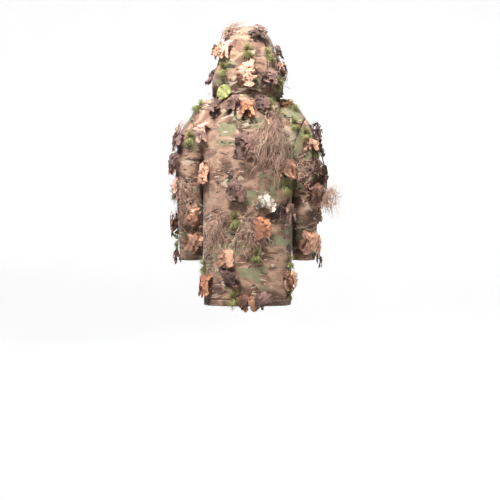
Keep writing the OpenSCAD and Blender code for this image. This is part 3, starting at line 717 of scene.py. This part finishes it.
class Shader:
    """A small helper that builds a node material."""

    def __init__(self, name, roughness=0.85, sheen=0.0, metallic=0.0):
        self.material = bpy.data.materials.new(name)
        self.material.use_nodes = True
        self.tree = self.material.node_tree
        self.bsdf = self.tree.nodes["Principled BSDF"]
        self.bsdf.inputs["Roughness"].default_value = roughness
        self.bsdf.inputs["Sheen Weight"].default_value = sheen
        self.bsdf.inputs["Metallic"].default_value = metallic

    def node(self, kind, **settings):
        node = self.tree.nodes.new(kind)
        for key, value in settings.items():
            setattr(node, key, value)
        return node

    def link(self, source, target):
        self.tree.links.new(source, target)

    def attribute(self, name, socket="Vector"):
        return self.node("ShaderNodeAttribute", attribute_name=name).outputs[socket]

    def scaled(self, vector, scale):
        mapping = self.node("ShaderNodeMapping")
        mapping.inputs["Scale"].default_value = scale
        self.link(vector, mapping.inputs["Vector"])
        return mapping.outputs["Vector"]

    def split(self, vector):
        node = self.node("ShaderNodeSeparateXYZ")
        self.link(vector, node.inputs[0])
        return node.outputs

    def noise(self, vector, scale, detail=3.0, roughness=0.5, distortion=0.0):
        node = self.node("ShaderNodeTexNoise")
        settings = {"Scale": scale, "Detail": detail, "Roughness": roughness, "Distortion": distortion}
        for key, value in settings.items():
            node.inputs[key].default_value = value
        self.link(vector, node.inputs["Vector"])
        return node.outputs["Fac"]

    def ramp(self, factor, stops):
        node = self.node("ShaderNodeValToRGB")
        elements = node.color_ramp.elements
        while len(elements) < len(stops):
            elements.new(0.5)
        for element, (place, colour) in zip(elements, stops):
            element.position = place
            element.color = colour
        self.link(factor, node.inputs["Fac"])
        return node.outputs["Color"]

    def mask(self, factor, low, high):
        node = self.node("ShaderNodeMapRange", interpolation_type="SMOOTHSTEP")
        node.inputs["From Min"].default_value = low
        node.inputs["From Max"].default_value = high
        self.link(factor, node.inputs["Value"])
        return node.outputs["Result"]

    def blend(self, factor, a, b, mode="MIX"):
        node = self.node("ShaderNodeMix", data_type="RGBA", blend_type=mode)
        if isinstance(factor, float):
            node.inputs["Factor"].default_value = factor
        else:
            self.link(factor, node.inputs["Factor"])
        for value, socket in ((a, node.inputs[6]), (b, node.inputs[7])):
            if isinstance(value, tuple):
                socket.default_value = value
            else:
                self.link(value, socket)
        return node.outputs[2]

    def math(self, operation, a, b=0.0):
        node = self.node("ShaderNodeMath", operation=operation)
        for value, socket in ((a, node.inputs[0]), (b, node.inputs[1])):
            if isinstance(value, (int, float)):
                socket.default_value = value
            else:
                self.link(value, socket)
        return node.outputs[0]

    def bump(self, height, distance, strength=1.0, normal=None):
        node = self.node("ShaderNodeBump")
        node.inputs["Distance"].default_value = distance
        node.inputs["Strength"].default_value = strength
        self.link(height, node.inputs["Height"])
        if normal is not None:
            self.link(normal, node.inputs["Normal"])
        return node.outputs["Normal"]

    def finish(self, colour, normal=None, roughness=None):
        self.link(colour, self.bsdf.inputs["Base Color"])
        if normal is not None:
            self.link(normal, self.bsdf.inputs["Normal"])
        if roughness is not None:
            self.link(roughness, self.bsdf.inputs["Roughness"])
        return self.material


def weave_height(s, vector, pitch):
    """Over and under threads, from the cloth coordinate in metres."""
    waves = [s.math("SINE", s.math("MULTIPLY", along, math.tau / pitch)) for along in s.split(vector)[:2]]
    return s.math("MULTIPLY", waves[0], waves[1])


CAMO_BROWN, CAMO_TAN, CAMO_GREEN = srgb(140, 104, 86), srgb(192, 156, 132), srgb(146, 142, 108)
CAMO_DARK, CAMO_CREAM, CAMO_MID = srgb(66, 48, 40), srgb(226, 202, 178), srgb(100, 73, 58)
WORN_EDGE, THREAD = srgb(82, 66, 54), srgb(92, 76, 58)
STITCH_PITCH, THREAD_RADIUS, WEAVE_PITCH = 0.0045, 0.0006, 0.0016


def camouflage_colour(s):
    """Soft blotches that stretch sideways, with small dark and pale shards."""
    rest = s.attribute("rest")
    bands = [(0.34, CAMO_MID), (0.43, CAMO_BROWN), (0.50, CAMO_TAN), (0.57, CAMO_BROWN), (0.66, CAMO_MID)]
    ground = s.ramp(s.noise(s.scaled(rest, (1.0, 1.0, 1.7)), 6.5, 2.5, 0.5, 0.4), bands)
    green = s.mask(s.noise(s.scaled(rest, (1.0, 1.2, 2.1)), 5.2, 3.5, 0.58, 0.7), 0.53, 0.575)
    colour = s.blend(green, ground, CAMO_GREEN)
    soft = s.mask(s.noise(s.scaled(rest, (1.2, 1.0, 2.4)), 9.0, 3.5, 0.6, 0.6), 0.57, 0.63)
    colour = s.blend(soft, colour, CAMO_MID)
    light = s.mask(s.noise(s.scaled(rest, (1.2, 1.0, 2.6)), 8.0, 4.0, 0.6, 0.8), 0.60, 0.64)
    colour = s.blend(s.math("MULTIPLY", light, 0.75), colour, CAMO_CREAM)
    dark = s.mask(s.noise(s.scaled(rest, (1.0, 1.0, 2.6)), 19.0, 4.0, 0.62, 1.0), 0.61, 0.635)
    colour = s.blend(dark, colour, CAMO_DARK)
    pale = s.mask(s.noise(s.scaled(rest, (1.1, 1.1, 2.8)), 15.0, 4.0, 0.62, 1.4), 0.645, 0.665)
    return s.blend(pale, colour, CAMO_CREAM)


def grey(value):
    return (value, value, value, 1.0)


def stitches(s, cloth, border, seam_place):
    """A dashed line of thread at one distance from the panel's edge."""
    run = s.math("ADD", *s.split(cloth)[:2])
    along = s.math("SINE", s.math("MULTIPLY", run, math.tau / STITCH_PITCH))
    line = s.math("LESS_THAN", s.math("ABSOLUTE", s.math("SUBTRACT", border, seam_place)), THREAD_RADIUS)
    return s.math("MULTIPLY", line, s.math("GREATER_THAN", along, -0.3))


def cloth_material(name, seam_place, shade=1.0):
    """Printed cloth: faded, grained, worn at its edges, stitched, creased and woven."""
    s = Shader(name, roughness=0.88, sheen=0.12)
    rest, cloth, border = s.attribute("rest"), s.attribute("cloth"), s.attribute("border", "Fac")
    faded = s.ramp(s.noise(rest, 38.0, 5.0, 0.65), [(0.3, srgb(196, 192, 188)), (0.7, srgb(255, 255, 252))])
    colour = s.blend(0.8, camouflage_colour(s), faded, "MULTIPLY")
    grain = s.ramp(s.noise(cloth, 900.0, 2.0), [(0.3, srgb(205, 202, 198)), (0.7, grey(1.0))])
    colour = s.blend(0.7, colour, grain, "MULTIPLY")
    worn = s.math("MULTIPLY", s.mask(border, 0.0035, 0.0), 0.45)
    colour = s.blend(worn, colour, WORN_EDGE)
    stitch = stitches(s, cloth, border, seam_place)
    colour = s.blend(s.math("MULTIPLY", stitch, 0.8), colour, THREAD)
    # painted shade: a shade below 1 darkens the whole cloth evenly, making a shaded copy of the same cloth
    colour = s.blend(1.0, colour, grey(shade), "MULTIPLY")
    normal = s.bump(s.noise(s.scaled(rest, (1.0, 1.0, 0.7)), 34.0, 4.0, 0.55, 1.2), 0.006, 0.55)
    normal = s.bump(s.mask(border, 0.0, seam_place), 0.0012, 0.8, normal)
    normal = s.bump(weave_height(s, cloth, WEAVE_PITCH), 0.0003, 0.5, normal)
    normal = s.bump(stitch, 0.0006, 0.8, normal)
    return s.finish(colour, normal, s.ramp(s.noise(rest, 60.0, 3.0), [(0.3, grey(0.78)), (0.7, grey(0.95))]))


def foliage_material(name, vein_pitch, roughness=0.75, sheen=0.1):
    """Each leaf, blade or strand carries its own colour in the tint attribute."""
    s = Shader(name, roughness=roughness, sheen=sheen)
    tint, place, rest = s.attribute("tint", "Color"), s.attribute("leaf"), s.attribute("rest")
    mottled = s.ramp(s.noise(rest, 120.0, 4.0, 0.6), [(0.28, srgb(150, 142, 136)), (0.72, grey(1.0))])
    colour = s.blend(0.75, tint, mottled, "MULTIPLY")
    along, across = s.split(place)[:2]
    from_rib = s.math("ABSOLUTE", across)
    rib = s.mask(from_rib, 0.10, 0.0)
    # a dark brown band along each leaf's midrib and each blade's or strand's middle: partly the rib's own colour,
    # partly painted shade in the fold along it
    colour = s.blend(s.math("MULTIPLY", rib, 0.35), colour, srgb(96, 62, 44))
    slant = s.math("SUBTRACT", along, s.math("MULTIPLY", from_rib, 0.16))
    veins = s.math("ABSOLUTE", s.math("SINE", s.math("MULTIPLY", slant, math.pi * vein_pitch)))
    normal = s.bump(s.mask(veins, 0.0, 0.25), 0.0009, 0.6)
    normal = s.bump(rib, 0.0012, 0.6, normal)
    normal = s.bump(s.noise(rest, 420.0, 3.0), 0.0008, 0.5, normal)
    return s.finish(colour, normal)


def trim_material(name, colour, shine, metallic=0.0, grain=300.0):
    """Tape, teeth, buttons and metal: speckled, scuffed and slightly uneven."""
    s = Shader(name, metallic=metallic)
    place = s.node("ShaderNodeTexCoord").outputs["Object"]
    worn = s.noise(place, grain, 4.0, 0.6)
    lighter = tuple(min(1.0, c * 1.9 + 0.02) for c in colour[:3]) + (1.0,)
    tone = s.ramp(worn, [(0.35, colour), (0.75, lighter)])
    rough = s.ramp(worn, [(0.3, grey(shine)), (0.7, grey(min(1, shine + 0.2)))])
    return s.finish(tone, s.bump(worn, 0.0004, 0.4), rough)


CLOTH = cloth_material("camouflage_cloth_look", 0.007)
# painted shade: the hem, cuff, brim and flap cloth is the same cloth darkened to 0.9
SHADED_HEM_CLOTH = cloth_material("hem_cloth_look", 0.009, 0.9)
LEAF = foliage_material("leaf_cloth_look", 9.0)
BLADE = foliage_material("grass_look", 3.0, 0.6, 0.0)
STRAND = foliage_material("raffia_look", 2.0, 0.8, 0.0)

# ---------- foliage

COLOURS = {
    "T": [srgb(240, 182, 148), srgb(228, 168, 134), srgb(248, 196, 166)],
    "O": [srgb(220, 152, 112), srgb(204, 136, 98), srgb(232, 170, 134)],
    "P": [srgb(236, 196, 180), srgb(224, 178, 160)],
    "R": [srgb(160, 112, 90), srgb(142, 98, 80), srgb(174, 124, 98)],
    "B": [srgb(138, 102, 90), srgb(118, 86, 76), srgb(160, 124, 112)],
    "C": [srgb(246, 230, 212), srgb(236, 214, 194)],
    "G": [srgb(172, 176, 104), srgb(184, 188, 116)],
    "grass": [srgb(158, 162, 88), srgb(180, 178, 112), srgb(134, 142, 74), srgb(196, 192, 130)],
    "raffia": [srgb(244, 208, 184), srgb(232, 192, 168), srgb(214, 174, 150), srgb(190, 150, 128)],
}
FEW_LEAVES = {"G": 1, "P": 2}


def islands(name):
    """Each separate solid of a foliage node, from the top down: its middle, root, direction and length."""
    bm = bmesh.new()
    bm.from_mesh(NODES[name].data)
    bmesh.ops.remove_doubles(bm, verts=bm.verts, dist=1e-6)
    left, found = set(bm.verts), []
    while left:
        stack, part = [left.pop()], []
        while stack:
            v = stack.pop()
            part.append(v)
            for e in v.link_edges:
                w = e.other_vert(v)
                if w in left:
                    left.discard(w)
                    stack.append(w)
        found.append(np.array([v.co for v in part]))
    bm.free()
    found.sort(key=lambda p: (round(-float(p[:, 2].mean()), 4), round(float(p[:, 0].mean()), 4)))
    return [read_plate(p) for p in found]


def read_plate(points):
    middle = (points.max(0) + points.min(0)) / 2
    _, _, axes = np.linalg.svd(points - points.mean(0), full_matrices=False)
    along = (points - middle) @ axes[0]
    across = (points - middle) @ axes[1]
    reach = np.ptp(along)
    low_end = np.ptp(across[along < along.min() + 0.09 * reach])
    high_end = np.ptp(across[along > along.max() - 0.09 * reach])
    direction = axes[0] if low_end < high_end else -axes[0]
    start = middle + axes[0] * (along.min() if low_end < high_end else along.max())
    return {"middle": points.mean(0), "root": start, "direction": direction, "length": reach}


def region(name):
    """The part of the garment that a panel or a foliage node belongs to."""
    if name.startswith(("sleeve", "cuff")):
        return "sleeve_left" if "left" in name else "sleeve_right"
    return "hood" if name.startswith("hood") else "body"


MOST_STAND, MOST_STAND_FRONT, NO_LIMIT = 0.034, 0.021, 1.0
LEAF_GAP, BLADE_GAP, STRAND_GAP = 0.0022, 0.0015, 0.002
LEAF_ROWS, LEAF_COLUMNS, BLADE_ROWS, STRAND_ROWS = 37, 15, 5, 17
HOLE_CHOICES, HOLE_COLUMNS = 32, (2, 4, 9, 11)
SHORTEST_LEAF, SMALL_PLATE = 0.085, 0.075
FLYING_SHARE, FOLLOW_SHARE = 0.95, 0.1
BLADES_IN_TUFT, STRANDS_PER_METRE = 190, 820
BODY_SPREAD, SLEEVE_SPREAD = 0.13, 0.22
LEAF_THICKNESS, STRAND_THICKNESS = 0.0007, 0.0004
DOWN = np.array([0, 0, -1.0])


class Foliage:
    """Grows leaves, blades and strands on the draped cloth and gathers them into one piece."""

    def __init__(self, garment, node, seed):
        mesh = garment.data
        near = [p.vertices[:] for p, panel in zip(mesh.polygons, mesh.attributes["panel"].data)
                if region(PANELS[panel.value]) == region(node)]
        self.tree = BVHTree.FromPolygons([v.co for v in mesh.vertices], near)
        self.random = np.random.default_rng(seed)
        self.points, self.faces, self.tints, self.places = [], [], [], []
        self.count = 0

    def surface(self, point):
        place, normal, _, _ = self.tree.find_nearest(Vector(point))
        return np.array(place), np.array(normal)

    def settle(self, points, least, follow_share, most=MOST_STAND):
        """Pulls points towards the cloth and keeps them between two distances outside it."""
        out = []
        for p in points:
            place, normal = self.surface(p)
            height = float((p - place) @ normal)
            limit = min(most, MOST_STAND_FRONT) if normal[1] < -0.5 else most
            wanted = max(limit * math.tanh(max(height, 0) * (1 - follow_share) / limit), least)
            out.append(p + normal * (wanted - height))
        return np.array(out)

    def add_grid(self, grid, tint, places, holes=()):
        rows, columns, _ = grid.shape
        base = self.count
        self.points.append(grid.reshape(-1, 3))
        self.places.append(places.reshape(-1, 2))
        self.tints.append(np.tile(tint, (rows * columns, 1)))
        self.count += rows * columns
        for i in range(rows - 1):
            for j in range(columns - 1):
                a = base + i * columns + j
                if (i, j) not in holes:
                    self.faces.append((a, a + 1, a + columns + 1, a + columns))

    def outline(self, t, length, lobed):
        """Half width along a leaf: three round lobes a side with deep gaps, or one smooth oval."""
        r = self.random
        blade = np.clip((t - 0.1) / 0.9, 0, 1)
        swell = np.sin(math.pi * blade ** 0.85) ** 0.55
        if not lobed:
            return 0.012 * length + 0.30 * length * swell
        lobes = np.abs(np.cos(math.pi * (3.5 * blade + r.uniform(-0.2, 0.2)))) ** 0.7
        ragged = 1 + 0.13 * np.sin(31 * blade + r.uniform(0, 6))
        ragged = ragged + 0.08 * np.sin(57 * blade + r.uniform(0, 6))
        return 0.014 * length + length * r.uniform(0.26, 0.34) * swell * (0.3 + 0.7 * lobes) * ragged

    def folded(self, t, s, length, lobed):
        """Where a leaf's points lie beside and above its rib, with each half folded and curled."""
        r = self.random
        left, right = self.outline(t, length, lobed), self.outline(t, length, lobed)
        reach = np.where(s < 0, left, right) * np.abs(s)
        limits = ((0.15, 1.15), (-30.0, 60.0)) if lobed else ((0.0, 0.25), (0.0, 8.0))
        fold, curl = (np.where(s < 0, r.uniform(low, high), r.uniform(low, high)) for low, high in limits)
        blade = np.clip((t - 0.14) / 0.2, 0, 1)
        angle = np.clip((fold + curl * reach * 0.5) * blade, -1.3, 1.5)
        return np.sign(s) * reach * np.cos(angle), reach * np.sin(angle)

    def rib(self, t, length, lobed):
        """A bent and waved spine: how far along and above the cloth each of its points lies."""
        r = self.random
        bend = 0.8 if lobed else 0.1
        slope = r.uniform(0.0, 0.3) + r.uniform(-1.4, 1.4) * bend * t
        slope = slope + bend * np.sin(r.uniform(4, 9) * t + r.uniform(0, 6))
        step = length / (len(t) - 1)
        return np.cumsum(np.cos(slope), axis=0) * step, np.cumsum(np.sin(slope), axis=0) * step

    def holes(self):
        """Cells that are left out of a leaf, in short separate slits."""
        found = set()
        for k in self.random.choice(HOLE_CHOICES, self.random.integers(9, 16), replace=False):
            i, j = 8 + 3 * (k // 4) + k % 2, HOLE_COLUMNS[k % 4]
            found |= {(i, j), (i + 1, j)}
        return found

    def leaf(self, root, direction, normal, length, colours, lift, turn, shade=1.0, lobed=True):
        """One leaf with a stem. Its halves fold and curl and its spine bends, all off the cloth."""
        t, s = np.linspace(0, 1, LEAF_ROWS)[:, None], np.linspace(-1, 1, LEAF_COLUMNS)[None, :]
        across, height = self.folded(t, s, length, lobed)
        run, rise = self.rib(t, length, lobed)
        height = height + rise + lift
        height = height + 0.0025 * np.sin(23 * t + self.random.uniform(0, 6)) * np.abs(s)
        ahead = direction * math.cos(turn) + np.cross(normal, direction) * math.sin(turn)
        side = np.cross(normal, ahead)
        grid = root + run[..., None] * ahead + across[..., None] * side + height[..., None] * normal
        grid = self.settle(grid.reshape(-1, 3), LEAF_GAP, FOLLOW_SHARE).reshape(grid.shape)
        holes = self.holes() if lobed else ()
        # shade scales the whole leaf's tint: painted shade for leaves that lie under others
        self.add_grid(grid, self.tint(colours, 0.86 * shade, 1.06 * shade), vec(t, s), holes)

    def along_cloth(self, direction, normal):
        direction = direction - normal * (direction @ normal)
        return direction / np.linalg.norm(direction)

    def tint(self, colours, low, high):
        tint = np.array(colours[self.random.integers(len(colours))]) * self.random.uniform(low, high)
        tint[3] = 1
        return tint

    def spray(self, plate, code, leaves, spread):
        """Leaves of one colour that hang over each other from one stem. The leaves underneath are darkened as painted
        shade.
        """
        r = self.random
        root, normal = self.surface(plate["root"])
        direction = self.along_cloth(plate["direction"] + DOWN, normal)
        side = np.cross(normal, direction)
        lobed = code != "G"
        count = FEW_LEAVES.get(code, leaves)
        length = plate["length"]
        for k in range(count):
            share = 2 * (k + 0.5) / count - 1
            size = max(length, SHORTEST_LEAF) * (r.uniform(0.9, 1.15) if lobed else 1)
            start = root + side * share * spread * length + direction * length * r.uniform(-0.05, 0.2)
            turn = share * r.uniform(0.2, 0.5) + r.uniform(-0.08, 0.08)
            # painted shade: the first, lowest leaves of a spray are darkest, as if shaded by the leaves above them
            shade = mix(0.5, 1.05, (k + 1) / count) if lobed else 1.0
            self.leaf(start, direction, normal, size, COLOURS[code], 0.003 + 0.005 * k, turn, shade, lobed)

    def tuft(self, plate):
        """A round tuft of short soft blades that stand off the cloth."""
        r = self.random
        middle, normal = self.surface(plate["middle"])
        side = np.cross(normal, [0, 0, 1.0])
        side /= np.linalg.norm(side)
        up = np.cross(side, normal)
        radius = plate["length"] * 0.62
        t = np.linspace(0, 1, BLADE_ROWS)[:, None]
        for _ in range(BLADES_IN_TUFT):
            turn = math.pi / 2 * r.choice([-1, -1, 1]) + r.normal(0, 0.6)
            lean = math.radians(r.uniform(20, 86))
            flat = side * math.cos(turn) + up * math.sin(turn)
            out = flat * math.sin(lean) + normal * math.cos(lean)
            length = radius * r.uniform(0.6, 1.12)
            root = middle + flat * radius * 0.25 * math.sqrt(r.random()) + normal * 0.002
            path = root + out * t * length + DOWN * (t ** 2) * length * r.uniform(-0.05, 0.3)
            path = path + flat * t ** 2 * length * r.uniform(-0.1, 0.35)
            width, shade = r.uniform(0.0008, 0.0016), r.uniform(0.7, 1.25)
            self.ribbon(path, width, COLOURS["grass"], BLADE_GAP, 0.0, shade=shade)

    def ribbon(self, path, width, palette, least, follow_share, most=MOST_STAND, shade=1.0):
        path = self.settle(path, least, follow_share, most)
        ahead = np.gradient(path, axis=0)
        ahead /= np.linalg.norm(ahead, axis=1)[:, None]
        _, normal = self.surface(path[0])
        across = np.cross(ahead, normal + self.random.normal(0, 0.5, 3))
        across /= np.linalg.norm(across, axis=1)[:, None] + 1e-9
        taper = np.linspace(1, 0.15, len(path))[:, None] ** 0.6
        ridge = np.cross(ahead, across) * width * 0.22
        edge = across * taper * width / 2
        grid = np.stack([path - edge, path + ridge, path + edge], axis=1)
        places = vec(np.linspace(0, 1, len(path))[:, None], np.array([[-1.0, 0.0, 1.0]]))
        # shade scales the tint: random tone for grass blades, painted shade for raffia strands
        self.add_grid(grid, self.tint(palette, 0.8 * shade, 1.1 * shade), places)

    def strands(self, plate):
        """Frayed raffia: strands that leave a knot, loop, kink and droop. A steep plate flies off."""
        r = self.random
        root, normal = self.surface(plate["root"])
        flying = plate["direction"] @ normal > 0.5
        direction = plate["direction"] if flying else self.along_cloth(plate["direction"], normal)
        most = NO_LIMIT if flying else MOST_STAND
        longest = plate["length"] * (FLYING_SHARE if flying else 1)
        side = np.cross(normal, direction)
        side /= np.linalg.norm(side)
        count = int(plate["length"] * STRANDS_PER_METRE)
        t = np.linspace(0, 1, STRAND_ROWS)[:, None]
        for k in range(count):
            backwards = r.random() < 0.2
            angle = math.pi * r.uniform(0.5, 1.5) if backwards else r.normal(0, 0.42)
            length = longest * (r.uniform(0.12, 0.34) if backwards else r.uniform(0.3, 1.0))
            out = direction * math.cos(angle) + side * math.sin(angle)
            start = root + side * r.normal(0, 0.012) + direction * abs(r.normal(0, 0.016))
            path = start + out * t * length + normal * 0.003
            arch = r.uniform(0.002, 0.03) * np.sin(math.pi * np.clip(t * r.uniform(0.6, 1.3), 0, 1))
            path = path + normal * arch
            path = path + DOWN * t ** 2 * length * r.uniform(0.0, 0.3)
            wave = r.uniform(0.004, 0.022) * np.sin(t * r.uniform(4, 18) + r.uniform(0, 6)) * np.sqrt(t)
            kink = np.cumsum(r.normal(0, 0.0042, (STRAND_ROWS, 3)), axis=0)
            kink[0] = 0
            path = path + kink + side * wave
            # painted shade: strands made first are darker, standing for the shaded under-layer of the tuft
            shade = mix(0.75, 1.1, k / count)
            width = r.uniform(0.0012, 0.0030)
            self.ribbon(path, width, COLOURS["raffia"], STRAND_GAP, FOLLOW_SHARE, most, shade)

    def piece(self, name, material, thickness, slot, node):
        mesh = bpy.data.meshes.new(name)
        points = np.concatenate(self.points)
        mesh.from_pydata(points.tolist(), [], self.faces)
        mesh.attributes.new("rest", "FLOAT_VECTOR", "POINT").data.foreach_set("vector", points.ravel())
        places, tints = np.concatenate(self.places), np.concatenate(self.tints)
        mesh.attributes.new("leaf", "FLOAT2", "POINT").data.foreach_set("vector", places.ravel())
        mesh.attributes.new("tint", "FLOAT_COLOR", "POINT").data.foreach_set("color", tints.ravel())
        mesh.materials.append(material)
        mesh.shade_smooth()
        piece = place_object(name, mesh)
        thicken(piece, thickness, 0)
        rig.slot(piece, slot)
        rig.replaces(piece, node)
        follow(piece, BODY_OF[node])


def leaf_piece(garment, node, codes, seed):
    """One colour code for each leaf of the node, from the top down."""
    foliage = Foliage(garment, node, seed)
    leaves, spread = (7, SLEEVE_SPREAD) if "sleeve" in node else (5, BODY_SPREAD)
    for k, plate in enumerate(islands(node)):
        foliage.spray(plate, codes[k % len(codes)], 4 if plate["length"] < SMALL_PLATE else leaves, spread)
    foliage.piece(f"{node}_cut", LEAF, LEAF_THICKNESS, SLOT_OF[node], node)


def tuft_piece(garment, node, seed):
    foliage = Foliage(garment, node, seed)
    grass = node.endswith("grass")
    for plate in islands(node):
        if grass:
            foliage.tuft(plate)
        else:
            foliage.strands(plate)
    foliage.piece(f"{node}_tufts", BLADE if grass else STRAND, STRAND_THICKNESS, SLOT_OF[node], node)


# ---------- pockets and zip


def front_normal(z, x):
    a, d = body_half_width(z), body_front(z)
    y = d * (1 - (x / a) ** SQUARENESS) ** (1 / SQUARENESS)
    n = vec((x / a) ** (SQUARENESS - 1) / a, -((y / d) ** (SQUARENESS - 1)) / d, 0 * z)
    return n / np.linalg.norm(n, axis=-1)[..., None]


def front_point(x, z, out):
    return body_point(z, front_angle_at_x(z, x)) + out[..., None] * front_normal(z, x)


POCKET_X = (0.034, 0.128)
POCKET_TOP, POCKET_BOTTOM = -0.590, -0.765
POCKET_OUT, POCKET_LOW = 0.0178, 0.0028
FLAP_RISE, FLAP_LENGTH = 0.012, 0.062
FLAP_OUT, FLAP_LOW = 0.0232, 0.0034
EDGE = 0.03


def grid_piece(grid, node, material, slot, thickness):
    g = Garment()
    g.add(mirror_grid(grid) if node.endswith("right") else grid, lambda i, j: PANELS[0])
    finish_cloth(g.object(f"{node}_cloth"), node, material, slot, thickness, 0)


def make_pocket(side):
    """A pouch whose side and bottom walls come down to the front, slack in the middle."""
    rows = np.concatenate([[-EDGE, -EDGE / 2], np.linspace(0, 1, 34)])
    columns = np.concatenate([[-EDGE, -EDGE / 2], np.linspace(0, 1, 22), [1 + EDGE / 2, 1 + EDGE]])
    c, r = np.meshgrid(columns, rows)
    x, z = mix(*POCKET_X, c), mix(POCKET_BOTTOM, POCKET_TOP, r)
    inside = np.clip(np.minimum(np.minimum(c, 1 - c) * 3 + 1, r * 3 + 1), 0, 1)
    edge = np.clip(np.minimum(np.minimum(c + EDGE, 1 + EDGE - c), r + EDGE) / EDGE, 0, 1)
    belly = 0.004 * np.sin(math.pi * np.clip(c, 0, 1)) * np.clip(r, 0, 1)
    out = mix(POCKET_LOW, POCKET_OUT, edge) + (belly + 0.0012 * np.sin(17 * c + 9 * r) * inside) * edge
    grid_piece(front_point(x, z, out)[:, ::-1], f"pocket_{side}", CLOTH, "camouflage_cloth", 0.0012)


def make_flap(side):
    """A stiff flap that covers the pocket's mouth and steps out over it."""
    drop, along = np.meshgrid(np.linspace(0, 1, 22), np.linspace(-EDGE, 1 + EDGE, 24), indexing="ij")
    z = POCKET_TOP + FLAP_RISE - drop * FLAP_LENGTH
    step = np.clip(drop / 0.2, 0, 1)
    out = mix(FLAP_LOW, FLAP_OUT, step * step * (3 - 2 * step)) + 0.0012 * np.sin(5 * along) * drop
    grid_piece(front_point(mix(*POCKET_X, along), z, out)[::-1, ::-1], f"pocket_flap_{side}", SHADED_HEM_CLOTH,
               "hem_cloth", 0.0016)


def copy_bending(node, body, material, slot):
    """A hard strip of the front edge that bends with the cloth, cut finer along its length."""
    piece = NODES[node].copy()
    piece.data = NODES[node].data.copy()
    piece.parent = None
    piece.name = f"{node}_bending"
    for key in list(piece.keys()):
        del piece[key]
    SCENE.collection.objects.link(piece)
    bm = bmesh.new()
    bm.from_mesh(piece.data)
    for z in np.arange(FRONT_BEND_LOW, CHEST_Z, 0.008):
        everything = bm.verts[:] + bm.edges[:] + bm.faces[:]
        bmesh.ops.bisect_plane(bm, geom=everything, plane_co=(0, 0, z), plane_no=(0, 0, 1))
    bm.to_mesh(piece.data)
    bm.free()
    piece.data.materials.clear()
    piece.data.materials.append(material)
    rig.slot(piece, slot)
    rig.replaces(piece, node)
    follow(piece, body)


# ---------- assembly

garment = build_garment()
drape(garment)

for name in PANELS:
    cut_panel(garment, name, SHADED_HEM_CLOTH if name in THICK else CLOTH)

TAPE = trim_material("tape_look", srgb(74, 66, 50), 0.85, grain=900.0)
TEETH = trim_material("teeth_look", srgb(84, 78, 62), 0.45)
METAL = trim_material("zip_metal_look", srgb(96, 92, 80), 0.35, 0.8)
BUTTON = trim_material("button_look", srgb(66, 56, 44), 0.4)
LABEL = trim_material("label_look", srgb(206, 198, 178), 0.8, grain=1200.0)
TRIM = {"tape": TAPE, "zip_teeth": TEETH, "zip_metal": METAL, "button": BUTTON, "label": LABEL}

for side in ("left", "right"):
    make_pocket(side)
    make_flap(side)
    copy_bending(f"zip_tape_{side}", f"{side}_front", TAPE, "tape")
    copy_bending(f"zip_teeth_{side}", f"{side}_front", TEETH, "zip_teeth")

LEAF_CODES = {
    "body_tan_leaves": "OOTTPTTCOTTO",
    "body_brown_leaves": "BBBBBBBBBBRR",
    "front_left_leaves": "TOT",
    "front_right_leaves": "BRB",
    "sleeve_left_leaves": "BTBTPTTRTRB",
    "sleeve_right_leaves": "BTBGBBBRTTB",
    "hood_tan_leaves": "OTOTTG",
    "hood_brown_leaves": "BBRBB",
}
for seed, node in enumerate(sorted(NODES)):
    if node in LEAF_CODES:
        leaf_piece(garment, node, LEAF_CODES[node], seed)
    elif node.endswith(("grass", "raffia")):
        tuft_piece(garment, node, seed)
bpy.data.objects.remove(garment)

for node, piece in NODES.items():
    if SLOT_OF[node] in TRIM:
        piece.data.materials.clear()
        piece.data.materials.append(TRIM[SLOT_OF[node]])

# ---------- studio


def make_backdrop():
    """A white paper sweep: flat under the jacket, then curved up behind it, and lit from within."""
    turn = np.linspace(0, math.pi / 2, 13)
    run = [(STAGE_REACH, FLOOR_Z)]
    run += [(SWEEP_Y - SWEEP_BEND * math.sin(a), FLOOR_Z + SWEEP_BEND * (1 - math.cos(a))) for a in turn]
    run.append((SWEEP_Y - SWEEP_BEND, SWEEP_TOP))
    points = [(x, y, z) for y, z in run for x in (-STAGE_REACH, STAGE_REACH)]
    faces = [(2 * k, 2 * k + 1, 2 * k + 3, 2 * k + 2) for k in range(len(run) - 1)]
    mesh = bpy.data.meshes.new("backdrop")
    mesh.from_pydata(points, [], faces)
    mesh.shade_smooth()
    backdrop = place_object("backdrop", mesh)
    s = Shader("backdrop_look", roughness=0.9)
    s.bsdf.inputs["Emission Color"].default_value = (1, 1, 1, 1)
    place = s.node("ShaderNodeTexCoord").outputs["Object"]
    glow = s.math("MULTIPLY", s.mask(s.split(place)[1], *GLOW_FADE), BACKDROP_GLOW)
    s.link(glow, s.bsdf.inputs["Emission Strength"])
    paper = s.ramp(s.noise(place, 3.0), [(0.3, srgb(226, 226, 227)), (0.7, srgb(232, 232, 232))])
    mesh.materials.append(s.finish(paper))
    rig.stage(backdrop)


def area_light(name, place, size, power, aim_z=-0.35, spread=180):
    data = bpy.data.lights.new(name, "AREA")
    data.size = size
    data.energy = power
    data.spread = math.radians(spread)
    light = place_object(name, data)
    light.location = place
    aim = Vector((0, 0, aim_z)) - Vector(place)
    light.rotation_euler = aim.to_track_quat("-Z", "Y").to_euler()


make_backdrop()
area_light("key_light", (0.6, 1.5, 2.0), 0.7, 37, -0.12, 70)
area_light("fill_light", (-3.0, 3.2, 0.4), 2.0, 30)
area_light("front_light", (0.5, -2.6, 2.2), 2.0, 60)
world = bpy.data.worlds.new("studio")
world.use_nodes = True
world.node_tree.nodes["Background"].inputs["Color"].default_value = (1.0, 1.0, 1.0, 1)
world.node_tree.nodes["Background"].inputs["Strength"].default_value = 0.12
SCENE.world = world
SCENE.view_settings.view_transform = "Standard"

visual_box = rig.bounds()
with open("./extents.json", "w") as out:
    json.dump({"cad": [[float(c) for c in corner] for corner in cad_box],
               "visual": [[float(c) for c in corner] for corner in visual_box]}, out)
